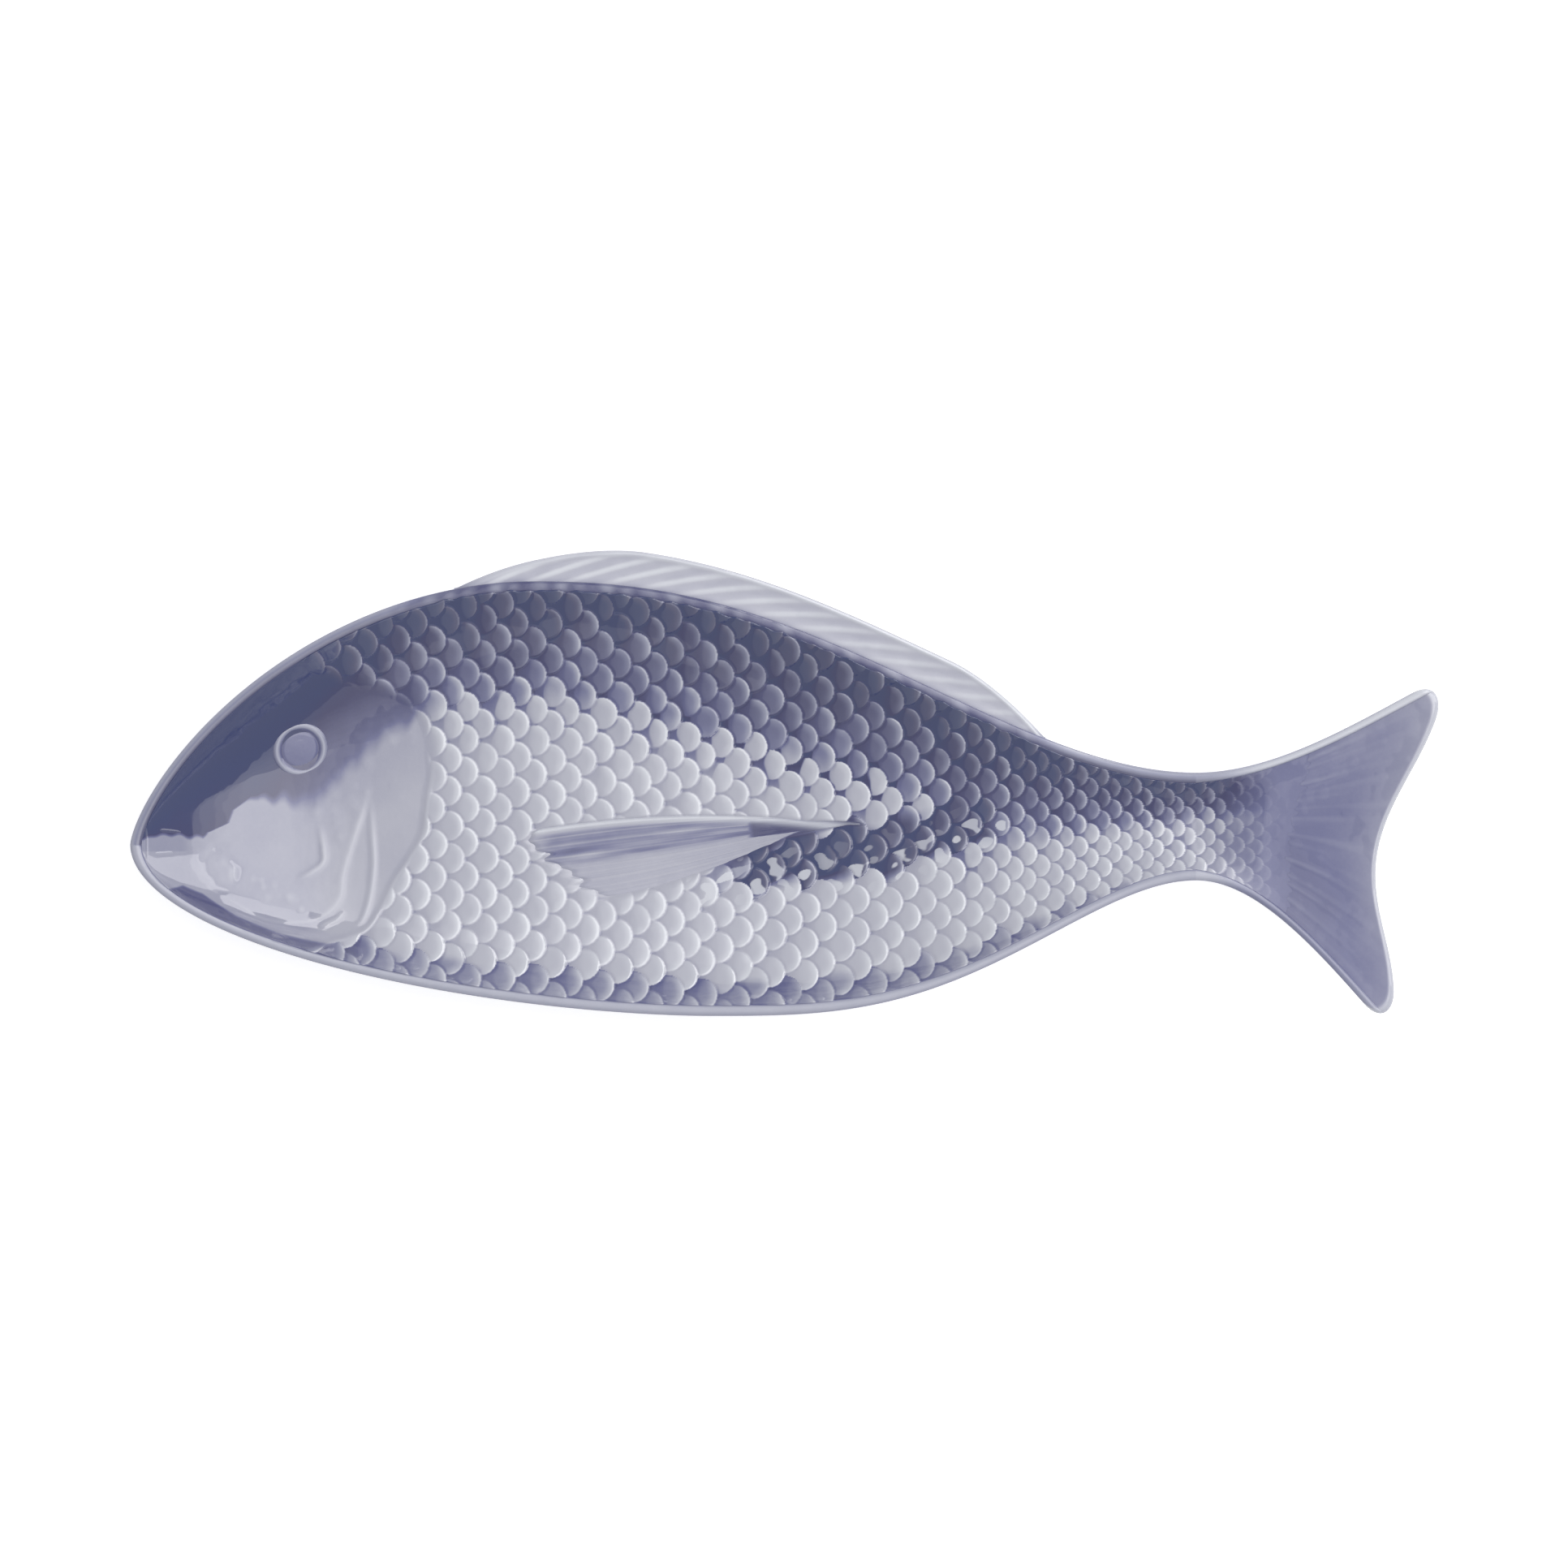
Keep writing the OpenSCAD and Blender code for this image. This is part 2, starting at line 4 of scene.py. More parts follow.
import bpy
import numpy as np
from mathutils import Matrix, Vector


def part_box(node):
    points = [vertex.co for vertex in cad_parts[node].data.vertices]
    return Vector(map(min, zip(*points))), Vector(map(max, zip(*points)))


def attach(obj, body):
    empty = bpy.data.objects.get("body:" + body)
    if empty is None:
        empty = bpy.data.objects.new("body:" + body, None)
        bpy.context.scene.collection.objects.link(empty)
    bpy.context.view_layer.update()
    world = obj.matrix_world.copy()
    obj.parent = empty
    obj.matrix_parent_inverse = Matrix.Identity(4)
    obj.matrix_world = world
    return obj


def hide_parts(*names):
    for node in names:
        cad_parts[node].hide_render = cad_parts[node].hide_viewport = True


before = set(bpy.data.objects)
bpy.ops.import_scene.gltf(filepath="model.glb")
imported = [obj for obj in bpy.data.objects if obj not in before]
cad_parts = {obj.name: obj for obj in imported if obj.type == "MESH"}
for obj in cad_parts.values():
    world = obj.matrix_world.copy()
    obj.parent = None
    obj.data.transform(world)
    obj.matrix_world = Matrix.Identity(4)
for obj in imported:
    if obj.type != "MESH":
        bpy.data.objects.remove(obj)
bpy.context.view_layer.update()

bl_info = {
    "name": "Fish Platter",
    "version": (1, 0, 0),
    "blender": (4, 5, 0),
    "location": "View3D > Sidebar > Platter",
    "description": "Models a glazed fish-shaped serving platter with its relief",
    "category": "Mesh",
}

BODY = "root"
MM = 0.001
SEED = 11
DISH_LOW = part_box("dish")[0]
FOOT_LOW, FOOT_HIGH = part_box("foot_ring")


# Colours and properties

def linear(hex_code):
    """An sRGB hex value as linear red, green, blue and alpha."""
    shares = [int(hex_code[k:k + 2], 16) / 255 for k in (1, 3, 5)]
    return tuple(c / 12.92 if c <= 0.04045 else ((c + 0.055) / 1.055) ** 2.4 for c in shares) + (1.0,)


def length(name, description, default):
    return bpy.props.FloatProperty(name=name, description=description, default=default,
                                   unit="LENGTH", precision=4)


def share(name, description, default):
    return bpy.props.FloatProperty(name=name, description=description, default=default, subtype="FACTOR")


def colour(name, description, hex_code):
    return bpy.props.FloatVectorProperty(name=name, description=description, default=linear(hex_code),
                                         subtype="COLOR", size=4, min=0, max=1)


class PlatterSizes(bpy.types.PropertyGroup):
    """Outline and section of the platter."""
    nose_reach: length("Nose reach", "Distance of the nose in front of the origin", -DISH_LOW.x)
    nose_drop: length("Nose drop", "How far the nose lies below the axis", 0.0185)
    back_height: length("Back height", "Height of the back's crest over the axis", 0.062)
    back_station: length("Back station", "Distance of the back's crest behind the nose", 0.123)
    belly_depth: length("Belly depth", "Depth of the belly below the axis", 0.071)
    belly_station: length("Belly station", "Distance of the belly's lowest point behind the nose", 0.177)
    stock_station: length("Stock station", "Distance of the tail stock behind the nose", 0.326)
    stock_width: length("Stock width", "Width of the tail stock", 0.033)
    stock_drop: length("Stock drop", "How far the tail stock's middle lies below the axis", 0.013)
    tail_reach: length("Tail reach", "Reach of the upper lobe's corner behind the origin", 0.2024)
    tail_rise: length("Tail rise", "Height of the upper lobe's corner over the axis", 0.0335)
    tail_drop: length("Tail drop", "Depth of the lower lobe's corner below the axis", 0.0765)
    tail_sweep: length("Tail sweep", "How much shorter the lower lobe is than the upper one", 0.017)
    fork_depth: length("Fork depth", "Depth of the fork in the trailing edge", 0.0125)
    tip_round: length("Tip rounding", "Length over which each tip of the tail is rounded", 0.0105)
    tail_thickness: length("Tail thickness", "Thickness of the tail at its trailing edge", 0.0036)
    tail_dip: length("Tail dip", "How far the tail dips between its raised edges", 0.0014)
    foot_height: length("Foot height", "Height of the foot ring", FOOT_HIGH.z)
    foot_wall: length("Foot wall", "Thickness of the foot ring's wall", 0.004)
    floor_thickness: length("Floor thickness", "Thickness of the floor", 0.005)
    well_depth: length("Well depth", "Depth of the well from the rim to the floor", 0.019)
    stock_depth: length("Stock depth", "Depth of the trough at the tail stock", 0.005)
    bow_run: length("Bow run", "Length of the rise from the level floor to the nose", 0.072)
    ramp_run: length("Ramp run", "Length of the rise from the level floor to the tail stock", 0.110)
    nose_lift: length("Nose lift", "How far the rim rises at the nose", 0.002)
    tail_lift: length("Tail lift", "How far the rim rises towards the end of the tail", 0.009)
    lip_width: length("Lip width", "Width of the rounded lip", 0.0035)
    lip_crown: length("Lip crown", "Crown of the lip over its two edges", 0.0009)
    lip_land: length("Lip land", "Height of the lip's outer edge", 0.0032)


class PlatterRelief(bpy.types.PropertyGroup):
    """Moulded relief of the fins, the head and the scales."""
    fin_width: length("Fin width", "Width of the dorsal fin", 0.011)
    fin_start: length("Fin start", "Distance of the dorsal fin's front end behind the nose", 0.099)
    fin_end: length("Fin end", "Distance of the dorsal fin's rear end behind the nose", 0.280)
    fin_front_run: length("Fin front run", "Length over which the fin widens at its front", 0.058)
    fin_rear_run: length("Fin rear run", "Length over which the fin narrows at its rear", 0.029)
    fin_edge: length("Fin edge", "Thickness of the fin at its outer edge", 0.0024)
    fin_rise: length("Fin rise", "How far the fin's outer edge rises over its root", 0.0016)
    fin_ray_pitch: length("Fin ray pitch", "Distance from one ray of the fin to the next", 0.0115)
    fin_ray_height: length("Fin ray height", "Height of the fin's rays", 0.0003)
    fin_ray_lean: length("Fin ray lean", "How far a ray leans back over the fin's width", 0.033)
    pectoral_length: length("Pectoral length", "Length of the pectoral fin", 0.108)
    pectoral_width: length("Pectoral width", "Width of the pectoral fin at its root", 0.025)
    pectoral_relief: length("Pectoral relief", "Relief of the pectoral fin over the floor", 0.0016)
    pectoral_station: length("Pectoral station", "Distance of the fin's root behind the nose", 0.118)
    pectoral_drop: length("Pectoral drop", "How far the fin's upper corner lies below the axis", 0.014)
    head_length: length("Head length", "From the nose to the rear edge of the gill plate", 0.092)
    eye_station: length("Eye station", "Distance of the eye behind the nose", 0.0515)
    eye_height: length("Eye height", "Height of the eye over the axis", 0.0108)
    lip_relief: length("Lip relief", "Relief of the lips over the floor", 0.0012)
    lip_breadth: length("Lip breadth", "Width of each lip", 0.0032)
    scale_pitch: length("Scale pitch", "Distance from one scale to the next behind it in its row", 0.0104)
    scale_width: length("Scale width", "Width of a scale across the row", 0.0104)
    scale_relief: length("Scale relief", "Relief of a scale's free edge over the floor", 0.0010)
    scale_taper: share("Scale taper", "Size of the scales at the tail stock, as a share", 0.6)


class PlatterGlaze(bpy.types.PropertyGroup):
    """Colours of the glaze, from where it lies thickest to where it breaks over an edge. They are also
    used for painted reflection and painted highlights.
    """
    # Cobalt, navy and indigo also paint reflection: the streak, the snout patch, the keel band and part of
    # the dark back stand in for dark surroundings mirrored in the glaze.
    cobalt: colour("Cobalt", "Glaze at its thickest, in the streak behind the pectoral fin", "#333F70")
    navy: colour("Navy", "Thick glaze along the back", "#3A3A6A")
    indigo: colour("Indigo", "Glaze on the upper flank and along the belly's edge", "#6A6D98")
    # Lavender is partly painted reflection: the pale belly and cheek stand in for overhead light mirrored
    # in the glaze.
    lavender: colour("Lavender", "Thin glaze on the belly and the cheek", "#BEBFCC")
    # Edge also paints highlights: the bright arcs of the scales and the lines on the lip, ridges and fins.
    edge: colour("Edge", "White body showing where the glaze breaks over an edge", "#EDF0F6")
    fin: colour("Fin", "Pale glaze of the dorsal fin", "#CDCEDA")
    clay: colour("Clay", "Unglazed porcelain of the foot", "#E9E5DC")


# The platter's surfaces as formulas

def mix(a, b, t):
    return a + (b - a) * t


def unit(t):
    return np.clip(t, 0.0, 1.0)


def ease(t):
    return t * t * (3 - 2 * t)


def quarter(t, first, second):
    """A quarter of a superellipse, which leaves upright and arrives level."""
    return (1 - (1 - unit(t)) ** first) ** (1 / second)


def blur(field, passes):
    """A field softened by its neighbours, a little more with each pass."""
    for _ in range(passes):
        for axis in (0, 1):
            wide = np.pad(field, [(1, 1) if k == axis else (0, 0) for k in (0, 1)], mode="edge")
            before = np.take(wide, range(0, field.shape[axis]), axis)
            after = np.take(wide, range(2, field.shape[axis] + 2), axis)
            field = 0.25 * before + 0.5 * field + 0.25 * after
    return field


class Form:
    """Outline, section and heights of the platter at any station, in metres."""
    back_front = (1.95, 1.4)
    belly_front = (1.7, 1.95)
    back_rear = 1.22
    belly_rear = 1.6
    lobe_slope = (1.45, 1.35)
    fork_sharpness = 3
    tip_share = 0.75
    inner_flat = 0.25
    outer_flat = 0.46
    inner_turn = (2, 8)
    keel_share = 0.6
    outer_turn = (3, 1.4)
    early_rise = 0.035
    bow_turn = 2.2
    tail_turn = 4
    leaf_arch = 4.5 * MM
    leaf_rake = 6 * MM
    leaf_climb = 2 * MM
    leaf_tip = 1 * MM
    leaf_root = ([0, 0.06, 0.15, 0.3, 0.5, 0.75, 1], [7, 3, 0.5, 1.5, 6, 11, 16])
    crowding = 1.7

    def __init__(self):
        self.size = size = bpy.context.scene.platter_sizes
        self.relief = bpy.context.scene.platter_relief
        self.nose = (-size.nose_reach, -size.nose_drop)
        self.back_x = self.nose[0] + size.back_station
        self.belly_x = self.nose[0] + size.belly_station
        self.stock_x = self.nose[0] + size.stock_station
        self.stock_y = (-size.stock_drop - size.stock_width / 2, -size.stock_drop + size.stock_width / 2)
        self.lobe_x = (size.tail_reach - size.tail_sweep, size.tail_reach)
        self.lobe_y = (-size.tail_drop, size.tail_rise)
        self.ramp_x = self.stock_x - size.ramp_run
        self.floor_z = size.foot_height + size.floor_thickness
        self.rim_z = self.floor_z + size.well_depth

    def back_y(self, x, inset=0.0):
        size = self.size
        front = mix(self.nose[1], size.back_height - inset,
                    quarter((x - self.nose[0] - inset) / (size.back_station - inset), *self.back_front))
        run = unit((x - self.back_x) / (self.stock_x - self.back_x)) ** self.back_rear
        rear = mix(size.back_height - inset, self.stock_y[1] - inset, ease(run))
        return np.where(x < self.back_x, front, rear)

    def belly_y(self, x, inset=0.0):
        size = self.size
        front = mix(self.nose[1], inset - size.belly_depth,
                    quarter((x - self.nose[0] - inset) / (size.belly_station - inset), *self.belly_front))
        run = unit((x - self.belly_x) / (self.stock_x - self.belly_x)) ** self.belly_rear
        rear = mix(inset - size.belly_depth, self.stock_y[0] + inset, ease(run))
        return np.where(x < self.belly_x, front, rear)

    def body_y(self, x, v, inset):
        return mix(self.belly_y(x, inset), self.back_y(x, inset), (v + 1) / 2)

    def body_x(self, along, inset):
        return mix(self.nose[0] + inset, self.stock_x, along ** self.crowding)

    def rim_at(self, x):
        size = self.size
        forward = unit((self.back_x - x) / size.back_station)
        rearward = unit((x - self.belly_x) / (size.tail_reach - self.belly_x))
        return self.rim_z + size.nose_lift * forward ** 2 + size.tail_lift * rearward ** self.tail_turn

    def edge_at(self, x):
        return self.rim_at(x) - self.size.lip_crown

    def bow(self, x, inset):
        return (1 - unit((x - self.nose[0] - inset) / self.size.bow_run)) ** self.bow_turn

    def ramp(self, x, lead=0.0):
        return ease(unit((x - self.ramp_x + lead) / (self.size.ramp_run + lead)))

    def floor_at(self, x):
        """The floor, which begins to rise towards the tail a little before the underside does."""
        bowed = mix(self.floor_z, self.edge_at(self.nose[0]), self.bow(x, self.size.lip_width))
        return mix(bowed, self.edge_at(self.stock_x) - self.size.stock_depth, self.ramp(x, self.early_rise))

    def under_at(self, x):
        size = self.size
        bowed = mix(size.foot_height, self.edge_at(self.nose[0]) - size.lip_land, self.bow(x, 0.0))
        stock = self.edge_at(self.stock_x) - size.stock_depth - size.floor_thickness
        return mix(bowed, stock, self.ramp(x))

    def inner_wall(self, x, v):
        """Rise of the well's wall as a share of its height: it turns up late along the belly, and the
        section grows round towards the tail stock."""
        ramp = self.ramp(x)
        flat = self.inner_flat * (1 - 0.9 * ramp)
        rise = unit((np.abs(v) - flat) / (1 - flat))
        keel = np.where(v < 0, self.keel_share * (1 - ramp), 0.0)
        return mix(rise ** self.inner_turn[0], rise ** self.inner_turn[1], keel)

    def outer_wall(self, v):
        rise = unit((np.abs(v) - self.outer_flat) / (1 - self.outer_flat))
        return np.where(v < 0, rise ** self.outer_turn[0], rise ** self.outer_turn[1])

    def inner_z(self, x, v):
        return mix(self.floor_at(x), self.edge_at(x), self.inner_wall(x, v))

    def outer_z(self, x, v):
        return mix(self.under_at(x), self.edge_at(x) - self.size.lip_land, self.outer_wall(v))

    def well_v(self, x, y):
        low = self.belly_y(x, self.size.lip_width)
        return 2 * (y - low) / (self.back_y(x, self.size.lip_width) - low) - 1

    def well_z(self, x, y):
        return self.inner_z(x, np.clip(self.well_v(x, y), -1, 1))

    def half_well(self, x):
        return (self.back_y(x, self.size.lip_width) - self.belly_y(x, self.size.lip_width)) / 2

    def well_point(self, x, v):
        """Points of the well's surface, which climbs over the lip past its edges."""
        x, v = np.broadcast_arrays(x, v)
        over = np.maximum(np.abs(v) - 1, 0) * self.half_well(x) / self.size.lip_width
        lip = self.size.lip_crown * np.sin(math.pi * unit(over))
        return np.stack([x, self.body_y(x, v, self.size.lip_width), self.inner_z(x, v) + lip], -1)

    def lobe(self, t, k):
        slope = self.lobe_slope[k]
        return mix(self.stock_y[k], self.lobe_y[k], (3 - slope) * t * t + (slope - 2) * t ** 3)

    def tail_xy(self, t, b):
        past = unit((np.abs(b) - self.tip_share) / (1 - self.tip_share))
        rounding = self.size.tip_round / (self.size.tail_reach - self.stock_x)
        a = t * (1 - rounding * (1 - np.sqrt(1 - past * past)))
        low = mix(self.stock_x, self.lobe_x[0], a)
        high = mix(self.stock_x, self.lobe_x[1], a)
        fork = self.size.fork_depth * a * a * (1 - b * b) ** self.fork_sharpness
        return mix(low, high, (b + 1) / 2) - fork, mix(self.lobe(a, 0), self.lobe(a, 1), (b + 1) / 2)

    def tail_lip(self, t):
        """Width of the tail's lip as a share of its half width."""
        size = self.size
        return size.lip_width / mix(size.stock_width / 2, (size.tail_rise + size.tail_drop) / 2, t)

    def tail_point(self, t, v):
        """Points of the tail's upper surface between its lips."""
        t, v = np.broadcast_arrays(t, v)
        x, y = self.tail_xy(t, v * (1 - self.tail_lip(t)))
        dip = mix(self.size.stock_depth, self.size.tail_dip, ease(unit(3 * t)))
        return np.stack([x, y, self.edge_at(x) - dip * (1 - self.inner_wall(self.stock_x, v))], -1)

    def fin_share(self, x):
        relief = self.relief
        front = 1 - (1 - unit((x - self.nose[0] - relief.fin_start) / relief.fin_front_run)) ** 1.6
        return front * (1 - (1 - unit((self.nose[0] + relief.fin_end - x) / relief.fin_rear_run)) ** 1.9)

    def leaf_width(self, t):
        return np.maximum(self.leaf_tip, self.relief.pectoral_width * (1 - unit(t) ** 2.2) ** 1.6)

    def leaf_xy(self, t, c):
        """Places on the pectoral fin, t along it and c across it from its upper edge."""
        relief = self.relief
        root = self.nose[0] + relief.pectoral_station
        x = root + relief.pectoral_length * t + self.leaf_rake * c * (1 - t)
        arch = self.leaf_arch * 4 * t * (1 - t)
        return x, -relief.pectoral_drop + self.leaf_climb * t + arch * (1 - c) - self.leaf_width(t) * c

    def leaf_place(self, x, y):
        """The place on the pectoral fin, t along it and c across it, that lies at a point of the plan."""
        relief = self.relief
        t, c = np.zeros(x.shape), np.zeros(x.shape)
        for _ in range(4):
            start = self.nose[0] + relief.pectoral_station + self.leaf_rake * c * (1 - t)
            t = np.clip((x - start) / relief.pectoral_length, -0.5, 1.5)
            arch = self.leaf_arch * 4 * unit(t) * (1 - unit(t))
            top = -relief.pectoral_drop + self.leaf_climb * unit(t) + arch
            c = np.clip((top - y) / (arch + self.leaf_width(t)), -1, 2)
        return t, c

    def leaf_cover(self, t, c):
        """How fully the pectoral fin covers its place, with a round upper corner and a ragged root."""
        width = self.leaf_width(t)
        along, from_top, from_low = t * self.relief.pectoral_length, c * width, (1 - c) * width
        upper = ease(unit(from_top / np.minimum(1.6 * MM, 0.35 * width)))
        lower = ease(unit(from_low / np.minimum(3 * MM, 0.4 * width)))
        ragged = 2.6 * MM * stripes(c, 0 * c, (3.3, 5.9, 8.7)) * unit(3 * c)
        start = np.interp(c, *self.leaf_root) * MM + ragged
        root = ease(unit((along - start) / mix(2.5 * MM, 12 * MM, unit(c))))
        return upper * lower * root * ease(unit((1 - t) * self.relief.pectoral_length / (4 * MM)))

    def scale_size(self, x):
        return mix(1.0, self.relief.scale_taper, self.ramp(x))

    def middle_y(self, x):
        """The lateral line, midway between back and belly, carried on over the tail."""
        t = unit((x - self.stock_x) / (self.size.tail_reach - self.stock_x))
        tail = (self.lobe(t, 0) + self.lobe(t, 1)) / 2
        return np.where(x < self.stock_x, (self.back_y(x) + self.belly_y(x)) / 2, tail)


# Meshes

def new_piece(name, points, faces, marks):
    """A mesh object with the given points, faces and one value per point for each mark."""
    bpy.ops.object.select_all(action="DESELECT")
    mesh = bpy.data.meshes.new(name)
    mesh.from_pydata(np.asarray(points).tolist(), [], [list(map(int, face)) for face in faces])
    for mark, values in marks.items():
        attribute = mesh.attributes.new(mark, "FLOAT", "POINT")
        attribute.data.foreach_set("value", np.asarray(values, np.float32).ravel())
    piece = bpy.data.objects.new(name, mesh)
    bpy.context.scene.collection.objects.link(piece)
    return piece


def close_up(piece, angle):
    """Merges doubled points, turns the faces outwards and smooths all but the sharp edges."""
    bpy.ops.object.select_all(action="DESELECT")
    piece.select_set(True)
    bpy.context.view_layer.objects.active = piece
    bpy.ops.object.mode_set(mode="EDIT")
    bpy.ops.mesh.select_all(action="SELECT")
    bpy.ops.mesh.remove_doubles(threshold=0.001 * MM)
    bpy.ops.mesh.normals_make_consistent(inside=False)
    bpy.ops.object.mode_set(mode="OBJECT")
    bpy.ops.object.shade_smooth_by_angle(angle=math.radians(angle))


def place_piece(piece, material, slot, *nodes):
    """Gives a finished piece its material and its place in the frame."""
    piece.data.materials.clear()
    piece.data.materials.append(material)
    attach(piece, BODY)
    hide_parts(*nodes)


def corner_numbers(cells):
    """Numbers for the corners of the cells that are kept, and -1 elsewhere."""
    used = np.zeros((cells.shape[0] + 1, cells.shape[1] + 1), bool)
    for i in (0, 1):
        for j in (0, 1):
            used[i:i + cells.shape[0], j:j + cells.shape[1]] |= cells
    numbers = np.full(used.shape, -1)
    numbers[used] = np.arange(used.sum())
    return numbers


def cell_faces(numbers, cells):
    corners = (numbers[:-1, :-1], numbers[1:, :-1], numbers[1:, 1:], numbers[:-1, 1:])
    return np.stack([corner[cells] for corner in corners], -1)


def slab_faces(rows, columns, start, ends):
    """Faces of a closed slab: its upper points are numbered from start, and its lower ones follow."""
    upper = np.arange(rows * columns).reshape(rows, columns) + start
    lower = upper + rows * columns
    cells = np.ones((rows - 1, columns - 1), bool)
    faces = [cell_faces(upper, cells), cell_faces(lower, cells)[:, ::-1]]
    for j in (0, columns - 1):
        faces.append(np.stack([upper[:-1, j], upper[1:, j], lower[1:, j], lower[:-1, j]], -1))
    for i in ends:
        faces.append(np.stack([upper[i, :-1], upper[i, 1:], lower[i, 1:], lower[i, :-1]], -1))
    return np.concatenate(faces)


def slab(name, top, under, thin, depth, under_depth, ends):
    """A closed slab between two grids of points, evenly glazed below, with end faces at the rows given."""
    hidden = under[..., 0].size
    marks = {
        "thin": np.concatenate([thin.ravel(), np.zeros(hidden)]),
        "depth": np.concatenate([depth.ravel(), np.full(hidden, under_depth)]),
    }
    points = np.concatenate([top.reshape(-1, 3), under.reshape(-1, 3)])
    piece = new_piece(name, points, slab_faces(*top.shape[:2], 0, ends), marks)
    close_up(piece, 50)
    return piece


def surface_normals(points):
    """Upward normals of a grid of points."""
    normals = np.cross(np.gradient(points, axis=0), np.gradient(points, axis=1))
    normals = normals * np.sign(normals[..., 2:])
    return normals / np.linalg.norm(normals, axis=-1, keepdims=True)


def relief_pad(name, top, low, keep, cell, marks):
    """A closed pad of relief: a fine upper skin, a coarse lower one, and a skirt round the cells kept.
    Pads cut from one skin keep its normals, so that no seam shows between them."""
    fine = np.repeat(np.repeat(keep, cell, 0), cell, 1)
    upper = corner_numbers(fine)
    lower = corner_numbers(keep)
    shown, hidden = upper >= 0, lower >= 0
    lower = np.where(hidden, lower + shown.sum(), -1)
    faces = cell_faces(upper, fine).tolist() + cell_faces(lower, keep)[:, ::-1].tolist()
    ringed = np.pad(keep, 1)
    for a, b in np.argwhere(keep):
        i, j = a * cell, b * cell
        sides = (
            (ringed[a, b + 1], upper[i, j:j + cell + 1], lower[a, b:b + 2]),
            (ringed[a + 2, b + 1], upper[i + cell, j:j + cell + 1], lower[a + 1, b:b + 2]),
            (ringed[a + 1, b], upper[i:i + cell + 1, j], lower[a:a + 2, b]),
            (ringed[a + 1, b + 2], upper[i:i + cell + 1, j + cell], lower[a:a + 2, b + 1]),
        )
        for neighbour, rim, foot in sides:
            if neighbour:
                continue
            half = cell // 2
            faces += [[rim[k], rim[k + 1], foot[0 if k < half else 1]] for k in range(cell)]
            faces.append([rim[half], foot[1], foot[0]])
    points = np.concatenate([top[shown], low[hidden]])
    unseen = np.zeros(hidden.sum())
    padded = {mark: np.concatenate([values[shown], unseen]) for mark, values in marks.items()}
    piece = new_piece(name, points, faces, padded)
    close_up(piece, 70)
    normals = np.concatenate([surface_normals(top)[shown], np.tile((0.0, 0.0, -1.0), (hidden.sum(), 1))])
    if len(piece.data.vertices) == len(normals):
        piece.data.normals_split_custom_set_from_vertices(normals.tolist())
    return piece


# Relief heights

def smooth_path(places, steps=10):
    """A smooth line through a few places, as close points."""
    p = np.asarray(places, float)
    p = np.concatenate([[2 * p[0] - p[1]], p, [2 * p[-1] - p[-2]]])
    t = np.linspace(0, 1, steps, endpoint=False)[:, None]
    runs = []
    for a, b, c, d in zip(p, p[1:], p[2:], p[3:]):
        bend = (2 * a - 5 * b + 4 * c - d) * t ** 2 + (3 * b - a - 3 * c + d) * t ** 3
        runs.append(0.5 * (2 * b + (c - a) * t + bend))
    return np.concatenate(runs + [p[-2:-1]])


def line_distance(x, y, path):
    """Distance of each place from a line, the side it lies on, and how far along the line it is."""
    best = np.full(x.shape, np.inf)
    side = np.zeros(x.shape)
    along = np.zeros(x.shape)
    for k, (a, b) in enumerate(zip(path, path[1:])):
        step = b - a
        run = unit(((x - a[0]) * step[0] + (y - a[1]) * step[1]) / (step @ step))
        off_x, off_y = x - a[0] - run * step[0], y - a[1] - run * step[1]
        reach = np.hypot(off_x, off_y)
        closer = reach < best
        best = np.where(closer, reach, best)
        side = np.where(closer, np.sign(step[0] * off_y - step[1] * off_x), side)
        along = np.where(closer, (k + run) / (len(path) - 1), along)
    return best, side, along


def taper(along, ends):
    """Full in the middle of a line and fading towards its two ends."""
    return ease(unit(along / ends)) * ease(unit((1 - along) / ends))


def scale_places(form, stop):
    """Scales in staggered columns from the nape to the root of the tail: place, size and height."""
    relief = form.relief
    draw = np.random.default_rng(SEED)
    lead_columns = 6
    x = form.nose[0] + 0.71 * relief.head_length - lead_columns * relief.scale_pitch / 2
    places = []
    column = 0
    while x < stop:
        size = float(form.scale_size(x)) * (1 - 0.2 * float(unit((x - form.stock_x) / 0.03)))
        for k in range(-9, 10):
            y = float(form.middle_y(x)) + (k + (column % 2) / 2) * relief.scale_width * size
            shift = draw.uniform(-0.06, 0.06, 5) * size
            places.append((x + shift[0] * relief.scale_pitch, y + shift[1] * relief.scale_width,
                           size * (1 + 0.5 * shift[2]), relief.scale_relief * (1 + 2 * shift[3]), shift[4]))
        x += relief.scale_pitch / 2 * size
        column += 1
    return places


